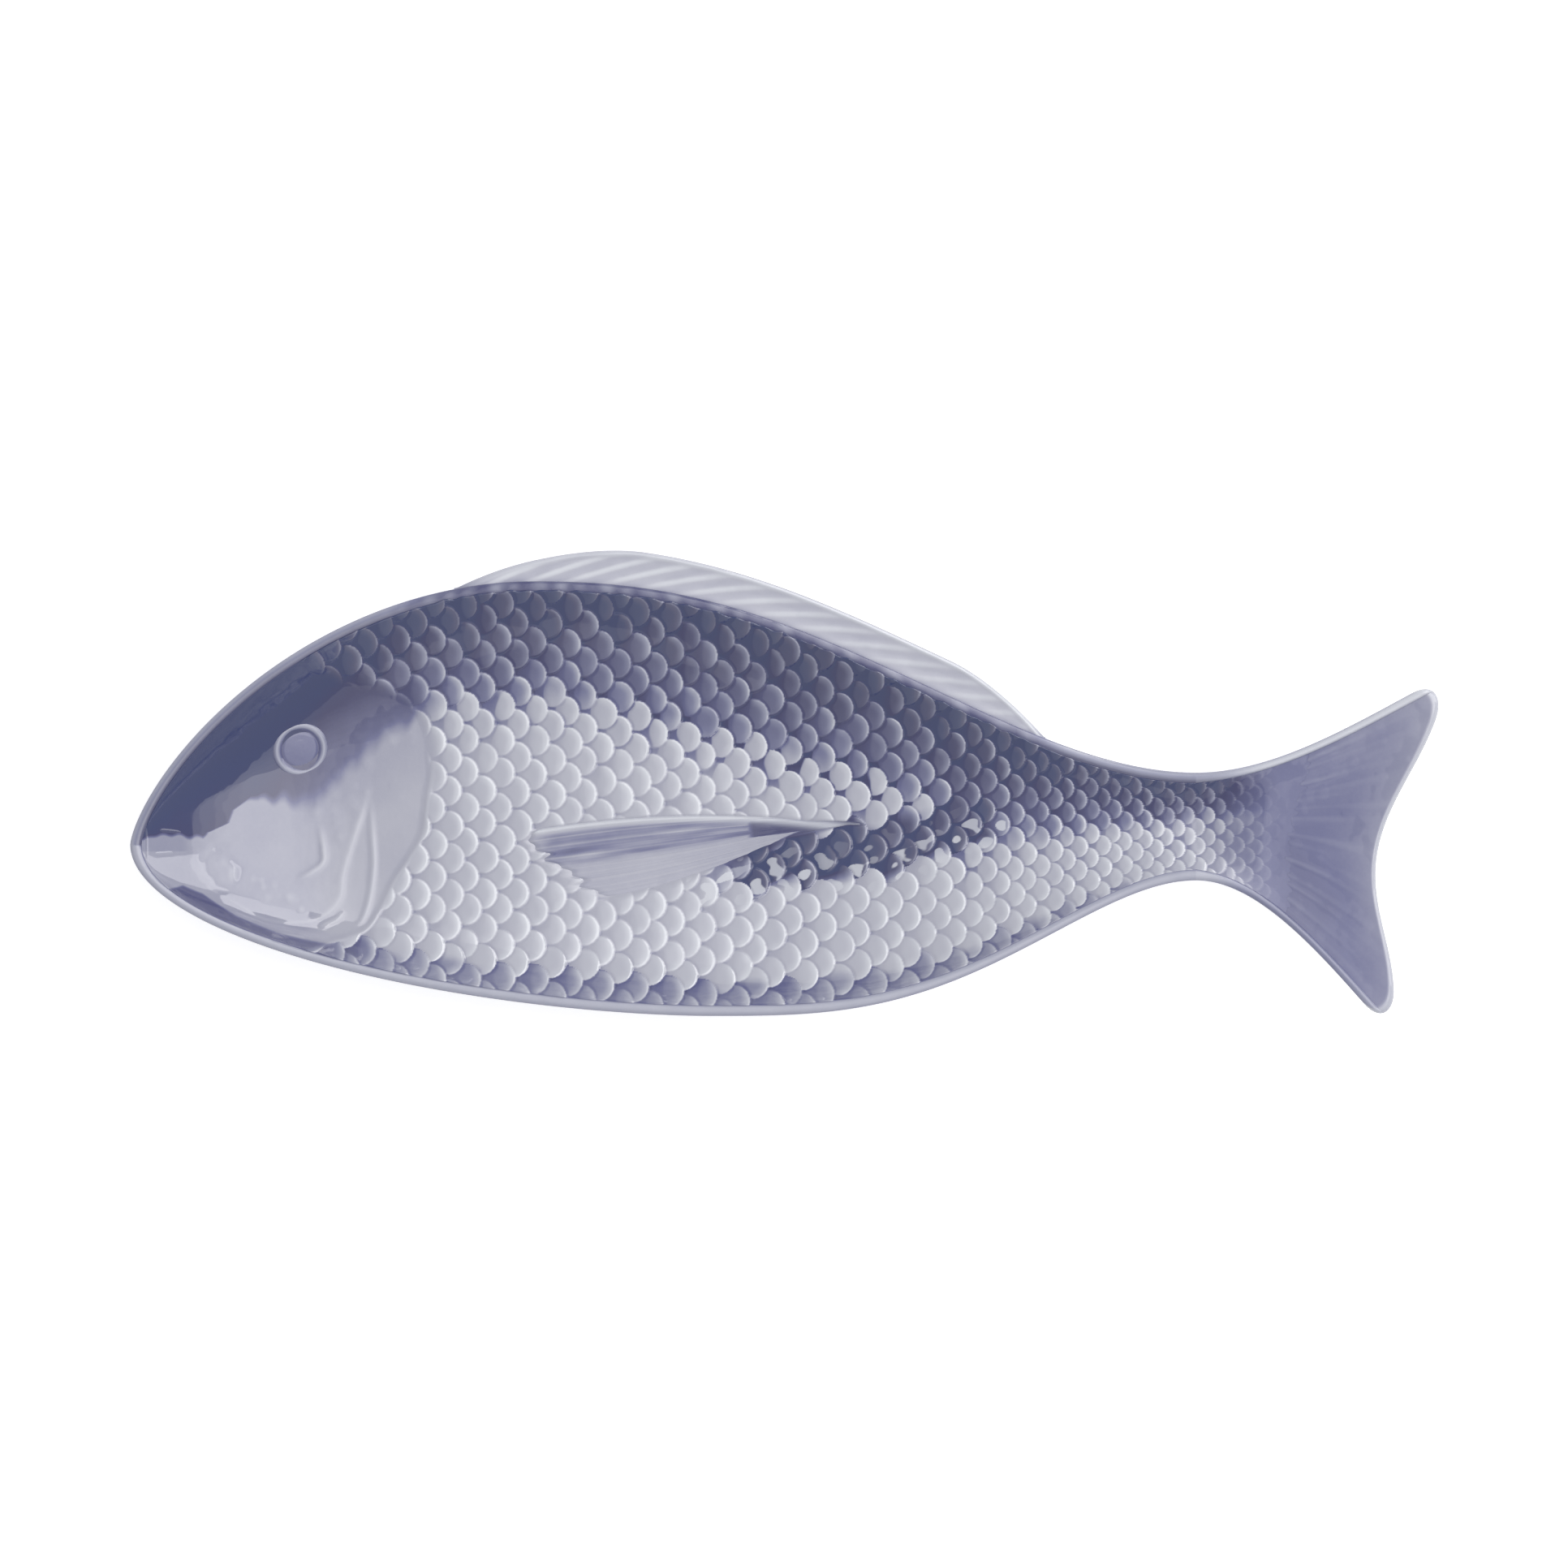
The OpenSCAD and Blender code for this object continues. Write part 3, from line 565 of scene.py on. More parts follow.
def scale_heights(form, x, y, places):
    """Overlapping scales, each a low dome that ends to the rear in a rounded free edge: their heights, a
    painted highlight along the side of that edge which faces the light, with painted shading across the
    dome and the glaze thinning at the edge, how far the middle of each scale lies from the point, and
    each scale's own shade."""
    pitch, width = form.relief.scale_pitch, form.relief.scale_width
    height, glow, to_x, to_y, tone = np.zeros((5,) + x.shape)
    station = x[:, x.shape[1] // 2]
    for place_x, place_y, size, rise, shift in places:
        reach, half = 0.52 * pitch * size, 0.51 * width * size
        rows = np.flatnonzero(np.abs(station - place_x) < 2.2 * reach + 3 * MM)
        if not rows.size:
            continue
        i = slice(rows[0], rows[-1] + 1)
        columns = np.flatnonzero((np.abs(y[i] - place_y) < 1.1 * half).any(axis=0))
        if not columns.size:
            continue
        j = slice(columns[0], columns[-1] + 1)
        u, w = (x[i, j] - place_x) / reach, (y[i, j] - place_y) / half
        radius = np.hypot(np.where(u > 0, u, 0.55 * u), w)
        tilt = 0.15 + 0.85 * unit((u + 1.6) / 2.6)
        dome = rise * size * tilt * (1 - 0.2 * radius ** 2) * ease(unit((1 - radius) / 0.15))
        # Painted highlight and shade: the bright arc lies on the side of each edge that faces the light,
        # lower right on the belly and upper right on the back, and the dome is painted darker at its root
        # and lighter towards its edge.
        turn = mix(-0.3, 0.6, float(unit((place_y + 0.05) / 0.08)))
        facing = (u + turn * w) / (np.maximum(radius, 0.01) * math.hypot(1, turn))
        highlight_crescent = 0.4 * ease(unit((radius - 0.35) / 0.55)) + 0.7 * np.exp(-((radius - 0.92) / 0.07) ** 2)
        shade = 0.85 * highlight_crescent * ease(unit((facing + 0.1) / 1.0)) + 0.3 * unit((u + 1) / 2)
        ahead = dome > height[i, j]
        fields = ((glow, shade), (to_x, place_x - x[i, j]), (to_y, place_y - y[i, j]), (tone, shift))
        for field, value in fields + ((height, dome),):
            field[i, j] = np.where(ahead, value, field[i, j])
    return height, glow, to_x, to_y, tone


def stripes(c, t, counts):
    """Uneven waves across c that sway along t, from minus one to one."""
    draw = np.random.default_rng(SEED)
    total = 0.0
    for count in counts:
        phase, sway, turn = draw.uniform(0, 1, 3)
        swing = 0.35 * sway * np.sin(2 * math.pi * (1.3 * t + turn))
        total = total + np.cos(2 * math.pi * (count * c + phase + swing))
    return total / len(counts)


# Lines of the head, as places in millimetres behind the nose and above the axis
FLANK_FRONT = [(36, 46), (52, 38.5), (63, 33.5), (74, 30), (84, 27), (91, 18), (92.5, 5), (91, -5.6),
               (89.7, -15.3), (85.3, -23.5), (80.8, -30.2), (76.3, -39.2), (71.8, -45.1), (64.4, -48.1),
               (52, -52)]
CHEEK_EDGE = [(72.6, 0.4), (70.4, -8.6), (67.4, -17.5), (64.6, -27.2), (63.6, -34.7), (59.2, -39.9),
              (52.5, -42.1), (42, -41.4), (33.1, -36.9), (19.6, -28.7)]
GILL_FOLD = [(72.8, -3), (73.6, -14.5), (74.1, -25), (72.8, -35.4), (70.4, -42.1), (66.6, -44.6)]
CHIN_FOLD = [(65.1, -38.4), (62.9, -41.4), (56.9, -43.9)]
CHEEK_FOLD = [(56.9, -9.3), (58.7, -19.8), (58.4, -24.2), (54.7, -27.2), (49.5, -29.7)]
JAW_BONE = [(21.9, -19.8), (25.5, -22.5), (30.1, -26.5)]
UPPER_LIP = [(4, -14), (12, -14.4), (23, -16.2)]
LOWER_LIP = [(4, -21.4), (10, -21.2), (19.8, -20.4)]


def head_line(form, places):
    return smooth_path([(form.nose[0] + x * MM, y * MM) for x, y in places])


def flank_offset(form, x, y):
    """Distance behind the line where the flank's scales begin, below nought on the head."""
    reach, side, _ = line_distance(x, y, head_line(form, FLANK_FRONT))
    return reach * side


def pebbles(x, y, draw, count, spot, rise):
    """Small bumps in the skin, at places that a function of two random shares gives."""
    height = np.zeros(x.shape)
    for _ in range(count):
        spot_x, spot_y = spot(draw.uniform(0, 1), draw.uniform(-1, 1))
        radius = draw.uniform(1.2, 2.4) * MM
        height += rise * np.exp(-((x - spot_x) ** 2 + (y - spot_y) ** 2) / radius ** 2)
    return height


def head_heights(form, x, y):
    """Relief of the head: gill plates that drop at their rear edges, folds, jaw bone and pebbled skin."""
    behind = flank_offset(form, x, y)
    low_down = ease(unit((12 * MM - y) / (18 * MM)))
    height = 0.3 * MM + 0.4 * MM * low_down * np.exp(-(behind / (1.2 * MM)) ** 2)
    reach, side, along = line_distance(x, y, head_line(form, CHEEK_EDGE))
    over = reach * side
    cheek = np.where(over < 0, np.exp(over / (6 * MM)), np.exp(-(over / (1.1 * MM)) ** 2))
    height += 0.24 * MM * cheek * taper(along, 0.15)
    for fold, rise, breadth in ((GILL_FOLD, 0.26, 0.9), (CHIN_FOLD, 0.25, 0.9), (CHEEK_FOLD, 0.25, 1.1),
                                (JAW_BONE, 0.14, 3.2)):
        reach, side, along = line_distance(x, y, head_line(form, fold))
        height += rise * MM * np.exp(-(reach / (breadth * MM)) ** 2) * taper(along, 0.3)
    draw = np.random.default_rng(SEED)
    nose_x = form.nose[0]
    height += pebbles(x, y, draw, 60, lambda t, s: (nose_x + (60 + 20 * t + 5 * s) * MM,
                                                    (mix(-14, 26, t) - 5 * s) * MM), 0.03 * MM)
    height += pebbles(x, y, draw, 16, lambda t, s: (nose_x + mix(28, 56, t) * MM,
                                                    (mix(-27, -38, t) + 3 * s) * MM), 0.14 * MM)
    return height


# Glaze

# Borders of the glaze's shades, in millimetres: distances behind the nose, with heights or widths there.
# They are partly borders of painted reflection, between mirrored overhead light and mirrored dark
# surroundings.
BACK_BORDER = ([0, 22, 30, 39.5, 56, 61.4, 74, 94.7, 118, 134, 196, 230, 250, 258, 308, 340],
               [-16, -16, -7, -4, -6, 0, 12.6, 25.5, 26.7, 28, 11.5, 1, -10, -17.7, -13, -9])
BACK_SOFTNESS = ([30, 40, 52, 75, 95], [2, 3, 9, 9, 4])
STREAK_LOW = ([170, 228, 258, 308], [-34, -28, -17.7, -13])
STREAK_HIGH = ([170, 200, 238, 250], [-25, -16, -9.7, -5])
KEEL_WIDTH = ([12, 16, 22, 32, 46, 60, 75, 110, 240, 275, 308], [0, 4, 5, 3, 2.4, 3.5, 6.3, 7, 6.5, 4, 0])
SNOUT_BORDER = ([-16, -12, -8, -4, 2.5, 17], [22, 30.5, 32, 37.5, 38.5, 46])


def glaze_and_reflection_tone(form, x, y):
    """How dark the glaze is: dark along the back and the snout, pale on the belly, with a streak behind
    the pectoral fin and a darker edge along the keel. Partly the glaze's own shading and partly painted
    reflection: the pale belly stands in for overhead light mirrored in the glaze, and the dark back, the
    snout patch, the streak and the keel band for dark surroundings mirrored there."""
    behind = (x - form.nose[0]) / MM
    back = form.back_y(x, form.size.lip_width) / MM
    from_keel = (y - form.belly_y(x, form.size.lip_width)) / MM
    y = y / MM
    border = np.interp(behind, *BACK_BORDER) + stripes(behind / 60, y / 60, (3.1, 5.3, 8.9))
    border = border + 0.8 * stripes(behind / 17, y / 23, (2.1, 3.3))
    rise = unit((y - border) / np.maximum(back - border, 1))
    soft = np.interp(behind, *BACK_SOFTNESS)
    dark = mix(mix(0.78, 1.0, rise), mix(0.46, 1.0, rise), unit((behind - 40) / 20))
    depth = ease(unit((y - border) / soft + 0.5)) * dark + 0.13 * ease(unit((y - border) / 30 + 1))

    # Painted reflection over the glaze's own dark line: the streak stands in for dark surroundings mirrored
    # in the glaze.
    streak = ease(unit((y - np.interp(behind, *STREAK_LOW)) / 2 + 0.5))
    streak = streak * ease(unit((np.interp(behind, *STREAK_HIGH) - y) / 4 + 0.5))
    streak = streak * ease(unit((behind - 172) / 20)) * (behind < 262)
    # Painted reflection: the darker band along the keel is where the steep wall mirrors dark surroundings.
    keel = ease(unit((np.interp(behind, *KEEL_WIDTH) - from_keel) / 1.5 + 0.5))
    keel = keel * (behind > 12) * (behind < 308)
    keel = keel * mix(0.66, 0.46, unit((behind - 40) / 60)) * mix(1, 0.8, unit((behind - 190) / 70))
    # Painted reflection: the navy patch on the snout stands in for dark surroundings mirrored on its slope.
    snout = ease(unit((np.interp(y, *SNOUT_BORDER) - behind) / 1.5)) * ease(unit((y + 15.6) / 1.2))
    # Painted shade: the recessed mouth is darkened.
    mouth = ease(unit((22 - behind) / 7)) * ease(unit((y + 21.2) / 0.8)) * ease(unit((-13.9 - y) / 0.8))
    cheek = 0.15 * ease(unit((64 - behind) / 14))
    for shade in (1.02 * streak, keel, 0.9 * snout, 0.24 * mouth, cheek):
        depth = np.maximum(depth, shade)
    depth = depth + 0.1 * ease(unit((behind - 305) / 25)) * (1 - depth)
    return mix(depth, mix(0.56, 0.48, unit((y + 45) / 60)), ease(unit((x - form.stock_x) / 0.028)))


def relief_marks(height, passes):
    """Where the glaze thins over raised edges and where it pools, from the relief alone; the marks also
    paint highlights on the edges and shade in the hollows.
    """
    return np.clip((height - blur(height, passes)) / (0.22 * MM), -1, 1)


def add_node(tree, kind, settings=None, links=None):
    """Adds a node, sets its options and unlinked sockets, and links the rest."""
    node = tree.nodes.new(kind)
    for key, value in (settings or {}).items():
        if isinstance(key, int) or key in node.inputs:
            node.inputs[key].default_value = value
        else:
            setattr(node, key, value)
    for key, source in (links or {}).items():
        tree.links.new(source, node.inputs[key])
    return node


def new_material(name):
    material = bpy.data.materials.new(name)
    material.use_nodes = True
    material.node_tree.nodes.clear()
    return material, material.node_tree


def set_ramp(node, stops):
    ramp = node.color_ramp
    while len(ramp.elements) < len(stops):
        ramp.elements.new(0.5)
    for element, (place, shade) in zip(ramp.elements, stops):
        element.position = place
        element.color = shade


def glazed_porcelain(name, shades, edge):
    """Porcelain under a clear coloured glaze: mirror-bright, darker where the glaze pools in the hollows of
    the relief, and paler where it breaks over the edges. The same marks carry painted light: painted
    shade in the hollows and painted highlights on the edges."""
    material, tree = new_material(name)
    place = add_node(tree, "ShaderNodeTexCoord").outputs["Object"]
    depth = add_node(tree, "ShaderNodeAttribute", {"attribute_name": "depth"}).outputs["Fac"]
    thin = add_node(tree, "ShaderNodeAttribute", {"attribute_name": "thin"}).outputs["Fac"]
    cloud = add_node(tree, "ShaderNodeTexNoise", {"Scale": 1 / (14 * MM), "Detail": 3.0},
                     {"Vector": place})
    speck = add_node(tree, "ShaderNodeTexNoise", {"Scale": 1 / (1.1 * MM), "Detail": 2.0},
                     {"Vector": place})
    drift = add_node(tree, "ShaderNodeMath", {"operation": "MULTIPLY_ADD", 1: 0.16, 2: -0.08},
                     {0: cloud.outputs["Fac"]}).outputs[0]
    grain = add_node(tree, "ShaderNodeMath", {"operation": "MULTIPLY_ADD", 1: 0.04, 2: -0.02},
                     {0: speck.outputs["Fac"]}).outputs[0]
    # Painted shade and highlight: the depth darkens where the mark is negative, as pooled glaze and painted
    # shade, and lightens where it is positive.
    pooled_and_shaded = add_node(tree, "ShaderNodeMath", {"operation": "MULTIPLY_ADD", 1: -0.28},
                      {0: thin, 2: depth}).outputs[0]
    mottled = add_node(tree, "ShaderNodeMath", {"operation": "ADD"}, {0: pooled_and_shaded, 1: drift}).outputs[0]
    body = add_node(tree, "ShaderNodeMath", {"operation": "ADD"}, {0: mottled, 1: grain}).outputs[0]
    tint = add_node(tree, "ShaderNodeValToRGB", None, {"Fac": body})
    set_ramp(tint, shades)
    # Painted highlights: the edge colour is mixed in where the mark is positive, as glaze broken over an
    # edge and as light on it.
    broken_and_lit = add_node(tree, "ShaderNodeMapRange", {"To Max": 0.9}, {"Value": thin})
    skin = add_node(tree, "ShaderNodeMix", {"data_type": "RGBA"},
                    {0: broken_and_lit.outputs[0], 6: tint.outputs["Color"]})
    skin.inputs[7].default_value = edge
    wave = add_node(tree, "ShaderNodeTexNoise", {"Scale": 1 / (7 * MM), "Detail": 1.0}, {"Vector": place})
    peel = add_node(tree, "ShaderNodeBump", {"Strength": 1.0, "Distance": 0.12 * MM},
                    {"Height": wave.outputs["Fac"]})
    gloss = add_node(tree, "ShaderNodeMapRange", {"To Min": 0.04, "To Max": 0.08},
                     {"Value": speck.outputs["Fac"]})
    shader = add_node(tree, "ShaderNodeBsdfPrincipled",
                      {"IOR": 1.6, "Coat Weight": 1.0, "Coat Roughness": 0.03, "Coat IOR": 1.6},
                      {"Base Color": skin.outputs[2], "Roughness": gloss.outputs[0],
                       "Normal": peel.outputs["Normal"], "Coat Normal": peel.outputs["Normal"]})
    add_node(tree, "ShaderNodeOutputMaterial", None, {"Surface": shader.outputs["BSDF"]})
    return material


def blue_glaze():
    name = "blue_glazed_porcelain"
    glaze = bpy.context.scene.platter_glaze
    shades = [(0.0, tuple(glaze.lavender)), (0.5, tuple(glaze.indigo)), (0.86, tuple(glaze.navy)),
              (1.0, tuple(glaze.cobalt))]
    return bpy.data.materials.get(name) or glazed_porcelain(name, shades, tuple(glaze.edge))


def pale_glaze():
    name = "pale_glazed_porcelain"
    glaze = bpy.context.scene.platter_glaze
    shades = [(0.0, tuple(glaze.edge)), (0.25, tuple(glaze.fin)), (1.0, tuple(glaze.indigo))]
    return bpy.data.materials.get(name) or glazed_porcelain(name, shades, tuple(glaze.edge))


def bare_porcelain():
    """Unglazed fired porcelain, ground flat on the foot: matt, faintly gritty and warmer than the glaze."""
    material, tree = new_material("bare_fired_porcelain")
    place = add_node(tree, "ShaderNodeTexCoord").outputs["Object"]
    grit = add_node(tree, "ShaderNodeTexNoise", {"Scale": 1 / (0.8 * MM), "Detail": 4.0}, {"Vector": place})
    tint = add_node(tree, "ShaderNodeValToRGB", None, {"Fac": grit.outputs["Fac"]})
    clay = tuple(bpy.context.scene.platter_glaze.clay)
    set_ramp(tint, [(0.3, tuple(0.8 * c for c in clay[:3]) + (1.0,)), (0.65, clay)])
    rough = add_node(tree, "ShaderNodeBump", {"Strength": 0.4, "Distance": 0.1 * MM},
                     {"Height": grit.outputs["Fac"]})
    shader = add_node(tree, "ShaderNodeBsdfPrincipled", {"Roughness": 0.75, "IOR": 1.5},
                      {"Base Color": tint.outputs["Color"], "Normal": rough.outputs["Normal"]})
    add_node(tree, "ShaderNodeOutputMaterial", None, {"Surface": shader.outputs["BSDF"]})
    return material


# Pieces

UNDERSIDE_GLAZE = 0.35


def lip_profile(size):
    """The lip's section as inset and rise, from halfway down its outer edge to its inner edge."""
    turns = np.linspace(0, math.pi, 9)
    crown = [(size.lip_width / 2 * (1 - math.cos(a)), size.lip_crown * math.sin(a)) for a in turns]
    return [(0.0, -0.5 * size.lip_land), (0.0, -0.25 * size.lip_land)] + crown


def lip_depths(size):
    """How dark the glaze's colour is over the lip's section on the belly's side and on the back's."""
    inward = np.array([inset / size.lip_width for inset, _ in lip_profile(size)])
    return 0.3 + 0.35 * ease(unit((inward - 0.8) / 0.2)), mix(0.26, 0.85, ease(unit(1.4 * inward)))[::-1]


def heel_profile(size):
    """The rounded lower corner of the lip's outer edge."""
    land = size.lip_land
    return [(0.0, -0.5 * land), (0.1 * MM, -0.8 * land), (0.5 * MM, -0.97 * land)]


def crest_shade(form, x):
    """How far the lip is as dark as the back: from the nape on, along the dorsal fin."""
    fin = form.relief
    front = ease(unit((x - form.nose[0] - fin.fin_start + 0.028) / 0.03))
    return front * ease(unit((form.nose[0] + fin.fin_end + 0.01 - x) / 0.02))


def build_dish():
    form = Form()
    size = form.size
    along = np.linspace(0, 1, 321)
    lip, heel = lip_profile(size), heel_profile(size)

    def edge_column(side, inset, rise):
        x = form.body_x(along, inset)
        if side < 0:
            return np.stack([x, form.belly_y(x, inset), form.edge_at(x) + rise], -1)
        bumps = stripes(x / (30 * MM), inset / (20 * MM), (2.9, 4.3, 6.1))
        bumps = 0.12 * MM * bumps * crest_shade(form, x) * math.sin(math.pi * inset / size.lip_width)
        return np.stack([x, form.back_y(x, inset), form.edge_at(x) + rise + bumps], -1)

    well_v = np.linspace(-1, 1, 93)[1:-1]
    x_well = form.body_x(along, size.lip_width)
    top = [edge_column(-1, *step) for step in lip] + [form.well_point(x_well, v) for v in well_v]
    top = np.stack(top + [edge_column(1, *step) for step in reversed(lip)], 1)
    under_v = np.linspace(-1, 1, top.shape[1] - 2 * len(heel) + 2)[1:-1]
    x_under = form.body_x(along, 0.0)
    under = [edge_column(-1, *step) for step in heel]
    for v in under_v:
        under.append(np.stack([x_under, form.body_y(x_under, v, 0.0), form.outer_z(x_under, v)], -1))
    under = np.stack(under + [edge_column(1, *step) for step in reversed(heel)], 1)

    flank = np.concatenate([np.full(len(lip), -1.0), well_v, np.full(len(lip), 1.0)])
    crown = np.array([unit(rise / size.lip_crown) for _, rise in lip])
    inward = np.array([inset / size.lip_width for inset, _ in lip])
    dark = crest_shade(form, top[..., 0]) * (flank > 0)
    # Painted highlights along the lip's crown, where the glaze also breaks; along the crest by the dorsal
    # fin they are kept in irregular patches, painted where its bead mirrors the light.
    back_thin = (0.35 * crown * (1 - 0.7 * inward))[::-1]
    lip_thin = np.concatenate([0.3 * crown, np.zeros(len(well_v)), back_thin])
    crest_highlight = 0.4 + 0.8 * stripes(top[..., 0] / (40 * MM), 0.0, (2.3, 3.7, 5.9))
    thin = lip_thin * (1 - dark * (1 - unit(crest_highlight)))
    belly_lip, back_lip = lip_depths(size)
    lip_depth = np.concatenate([belly_lip, np.zeros(len(well_v)), back_lip])
    rimmed = np.abs(flank) >= 1
    rim_depth = mix(lip_depth, 0.72, dark)
    depth = np.where(rimmed, rim_depth, glaze_and_reflection_tone(form, top[..., 0], top[..., 1]))
    piece = slab("dish_body", top, under, thin, depth, UNDERSIDE_GLAZE, [len(top) - 1])
    place_piece(piece, blue_glaze(), "blue_glaze", "dish")


# The skin: fine cells to a coarse one, the share of the tail it covers, and its borders along X
CELL = 8
TAIL_SKIN = 0.56
HEAD_REAR = -0.085
SNOUT_REAR = -0.147
SCALES_STOP = 0.162
SCALE_PIECES = (("scales_nape", -1.0, -0.095), ("scales_shoulder", -0.095, -0.045),
                ("scales_flank", -0.045, 0.005), ("scales_loin", 0.005, 0.055),
                ("scales_stock", 0.055, 0.105), ("scales_tail_root", 0.105, 1.0))
RIM_LAP = 3.3 * MM
SKIN_PROUD = 0.12 * MM
SKIN_SUNK = 0.7 * MM
SKIN_DEPTH = 1.6 * MM


class Skin:
    """The moulded skin of the well from behind the nose to the root of the tail, on one grid, from which
    each piece of relief is cut. It laps a little way over the lip and dives into it."""

    def __init__(self, form):
        self.form = form
        across = np.linspace(-1, 1, CELL * 55 + 1)
        front_x = form.nose[0] + form.size.lip_width + 0.1 * MM
        x = np.linspace(front_x, form.stock_x, CELL * 128 + 1)[:-1, None]
        t = np.linspace(0, TAIL_SKIN, CELL * 15 + 1)[:, None]
        body_v = across * (1 + RIM_LAP / form.half_well(x))
        tail_v = across * (1 + RIM_LAP / form.half_well(form.stock_x)) * np.ones_like(t)
        self.v = np.concatenate([body_v, tail_v])
        self.points = np.concatenate([form.well_point(x, body_v), form.tail_point(t, tail_v)])
        self.x, self.y = self.points[..., 0], self.points[..., 1]
        nose = ease(unit((x - front_x) / (2 * MM)))
        tail = 1 - ease(unit((t / TAIL_SKIN - 0.6) / 0.38))
        over = np.maximum(np.abs(self.v) - 1, 0) * form.half_well(np.minimum(self.x, form.stock_x))
        crest = crest_shade(form, self.x) * (self.v > 0)
        lap = 0.4 * MM + 0.38 * MM * stripes(self.x / (30 * MM), 0.0, (2.9, 4.3, 6.1))
        rim = 1 - mix(ease(unit(over / (0.8 * MM))), ease(unit((over - lap) / (0.7 * MM))), crest)
        self.shown = rim * np.concatenate([nose, np.ones_like(t)])
        self.settled = np.concatenate([np.ones_like(x), tail])
        self.mould()

    def mould(self):
        """Heights of the relief and the marks for the glaze: where it thins or pools, and where
        highlights and shade are painted on it.
        """
        form, x, y = self.form, self.x, self.y
        front = x[:, x.shape[1] // 2] < HEAD_REAR
        self.offset = np.ones(x.shape)
        self.offset[front] = flank_offset(form, x[front], y[front])
        blend = mix(1.2 * MM, 6 * MM, ease(unit((y + 10 * MM) / (20 * MM))))
        flank = ease(unit(self.offset / blend + 0.5))
        head = np.zeros(x.shape)
        head[front] = blur(head_heights(form, x[front], y[front]), 2)
        scales, glow, to_x, to_y, tone = scale_heights(form, x, y, scale_places(form, SCALES_STOP))
        uneven = 0.5 + 0.5 * stripes((x + 0.3 * y) / (23 * MM), y / (31 * MM), (1.0, 2.3))
        scales, glow = blur(scales, 1), blur(glow, 1) * mix(0.65, 1.2, uneven)
        faint = 1 - ease(unit((x - form.stock_x) / (29 * MM)))
        scales, glow = scales * faint, glow * faint
        fin = form.leaf_cover(*form.leaf_place(x, y))
        bare = flank * (1 - fin) * faint
        height = mix(head, scales, flank) * (1 - fin ** 2)
        # Painted reflection: the shades are taken near each scale's middle, so their borders follow the
        # scales' outlines as mirrored light broken by the relief.
        depth = glaze_and_reflection_tone(form, x + 0.7 * to_x * bare, y + 0.7 * to_y * bare)
        # Painted highlight and shading: dark scales are lightened where the glow is.
        depth = depth * (1 - 0.42 * unit(glow) * bare * unit((depth - 0.3) / 0.2)) * (1 + 1.6 * tone * bare)
        # Painted shade, with glaze pooling: darker in the hollows behind the scales' free edges.
        pool_and_shade = unit((blur(scales, 8) - scales) / (0.12 * MM))
        behind = (x - form.nose[0]) / MM
        border = np.interp(behind, *BACK_BORDER) * MM
        run = unit(1 + (y - border) / (16 * MM)) * unit(1 - (y - border) / (8 * MM)) * bare
        run = run * unit((behind - 80) / 20) * mix(0.35, 1.0, ease(unit((behind - 130) / 100)))
        run = run * mix(1.0, 0.2, unit((behind - 245) / 20))
        border_wobble = stripes((x - y) / (27 * MM), (x + y) / (33 * MM), (1.0, 1.9, 3.1))
        full = form.relief.scale_relief * form.scale_size(x)
        groove = ease(unit((0.67 - scales / full) / 0.25)) * bare
        groove = np.maximum(groove, pool_and_shade * bare)
        # Painted shade along the border of the dark back: the exposed roots behind the free edges darken in
        # crescents, as pooled glaze and painted shade.
        pooled_and_shaded = 0.8 * unit(1.4 * run) * ease(unit((groove - 0.4 + 0.35 * border_wobble) / 0.25))
        depth = depth + pooled_and_shaded * (1 - depth)
        # Painted highlights and shade on the head's ridges and hollows, along with the glaze breaking over
        # the ridges and pooling in the hollows.
        ridges = relief_marks(head, 14)
        ridges = np.where(ridges > 0, 0.8 * ridges * (1 - 0.6 * depth), 0.4 * ridges)
        # Painted glints: white patches on the tops of the scales along the streak's lower border stand in
        # for reflected light.
        low = form.nose[0] + np.array(STREAK_LOW[0]) * MM
        edge = np.interp(x + to_x, low, STREAK_LOW[1]) * MM
        along = (x > low[0]) & (x < low[2] + 10 * MM)
        glint_band = np.exp(-((y + to_y - edge - 3 * MM) / (6 * MM)) ** 2) * along
        blotch = stripes((x + 0.5 * y) / (13 * MM), y / (11 * MM), (1.0, 1.7))
        blotch = blotch + stripes((y - 0.4 * x) / (9 * MM), x / (12 * MM), (1.3, 2.1))
        reach = 0.5 * form.relief.scale_pitch * form.scale_size(x)
        middle = 1 - np.hypot(to_x + 0.2 * reach, to_y - 0.2 * reach) / reach
        painted_glints = glint_band * ease(unit((middle - 0.6 + 0.35 * blotch) / 0.1)) * unit(scales / (0.3 * MM))
        # Painted highlight and shade: bright arcs strong on the pale belly and faint on the dark back, with
        # the glints, less painted shade in the hollows where the glaze also pools.
        gleam = np.maximum(glow * mix(1.35, 0.27, unit(1.15 * depth)), 0.85 * painted_glints)
        gleam = gleam - np.maximum(pool_and_shade, 0.3 * groove) * faint * flank
        thin = mix(ridges, gleam, flank) * (1 - fin)
        self.marks = {"thin": thin * self.shown, "depth": depth}
        proud = SKIN_PROUD + height * self.shown
        lift = mix(-0.06 * MM, proud, self.settled) - SKIN_SUNK * (1 - self.shown)
        self.top = self.points + lift[..., None] * np.array([0, 0, 1.0])

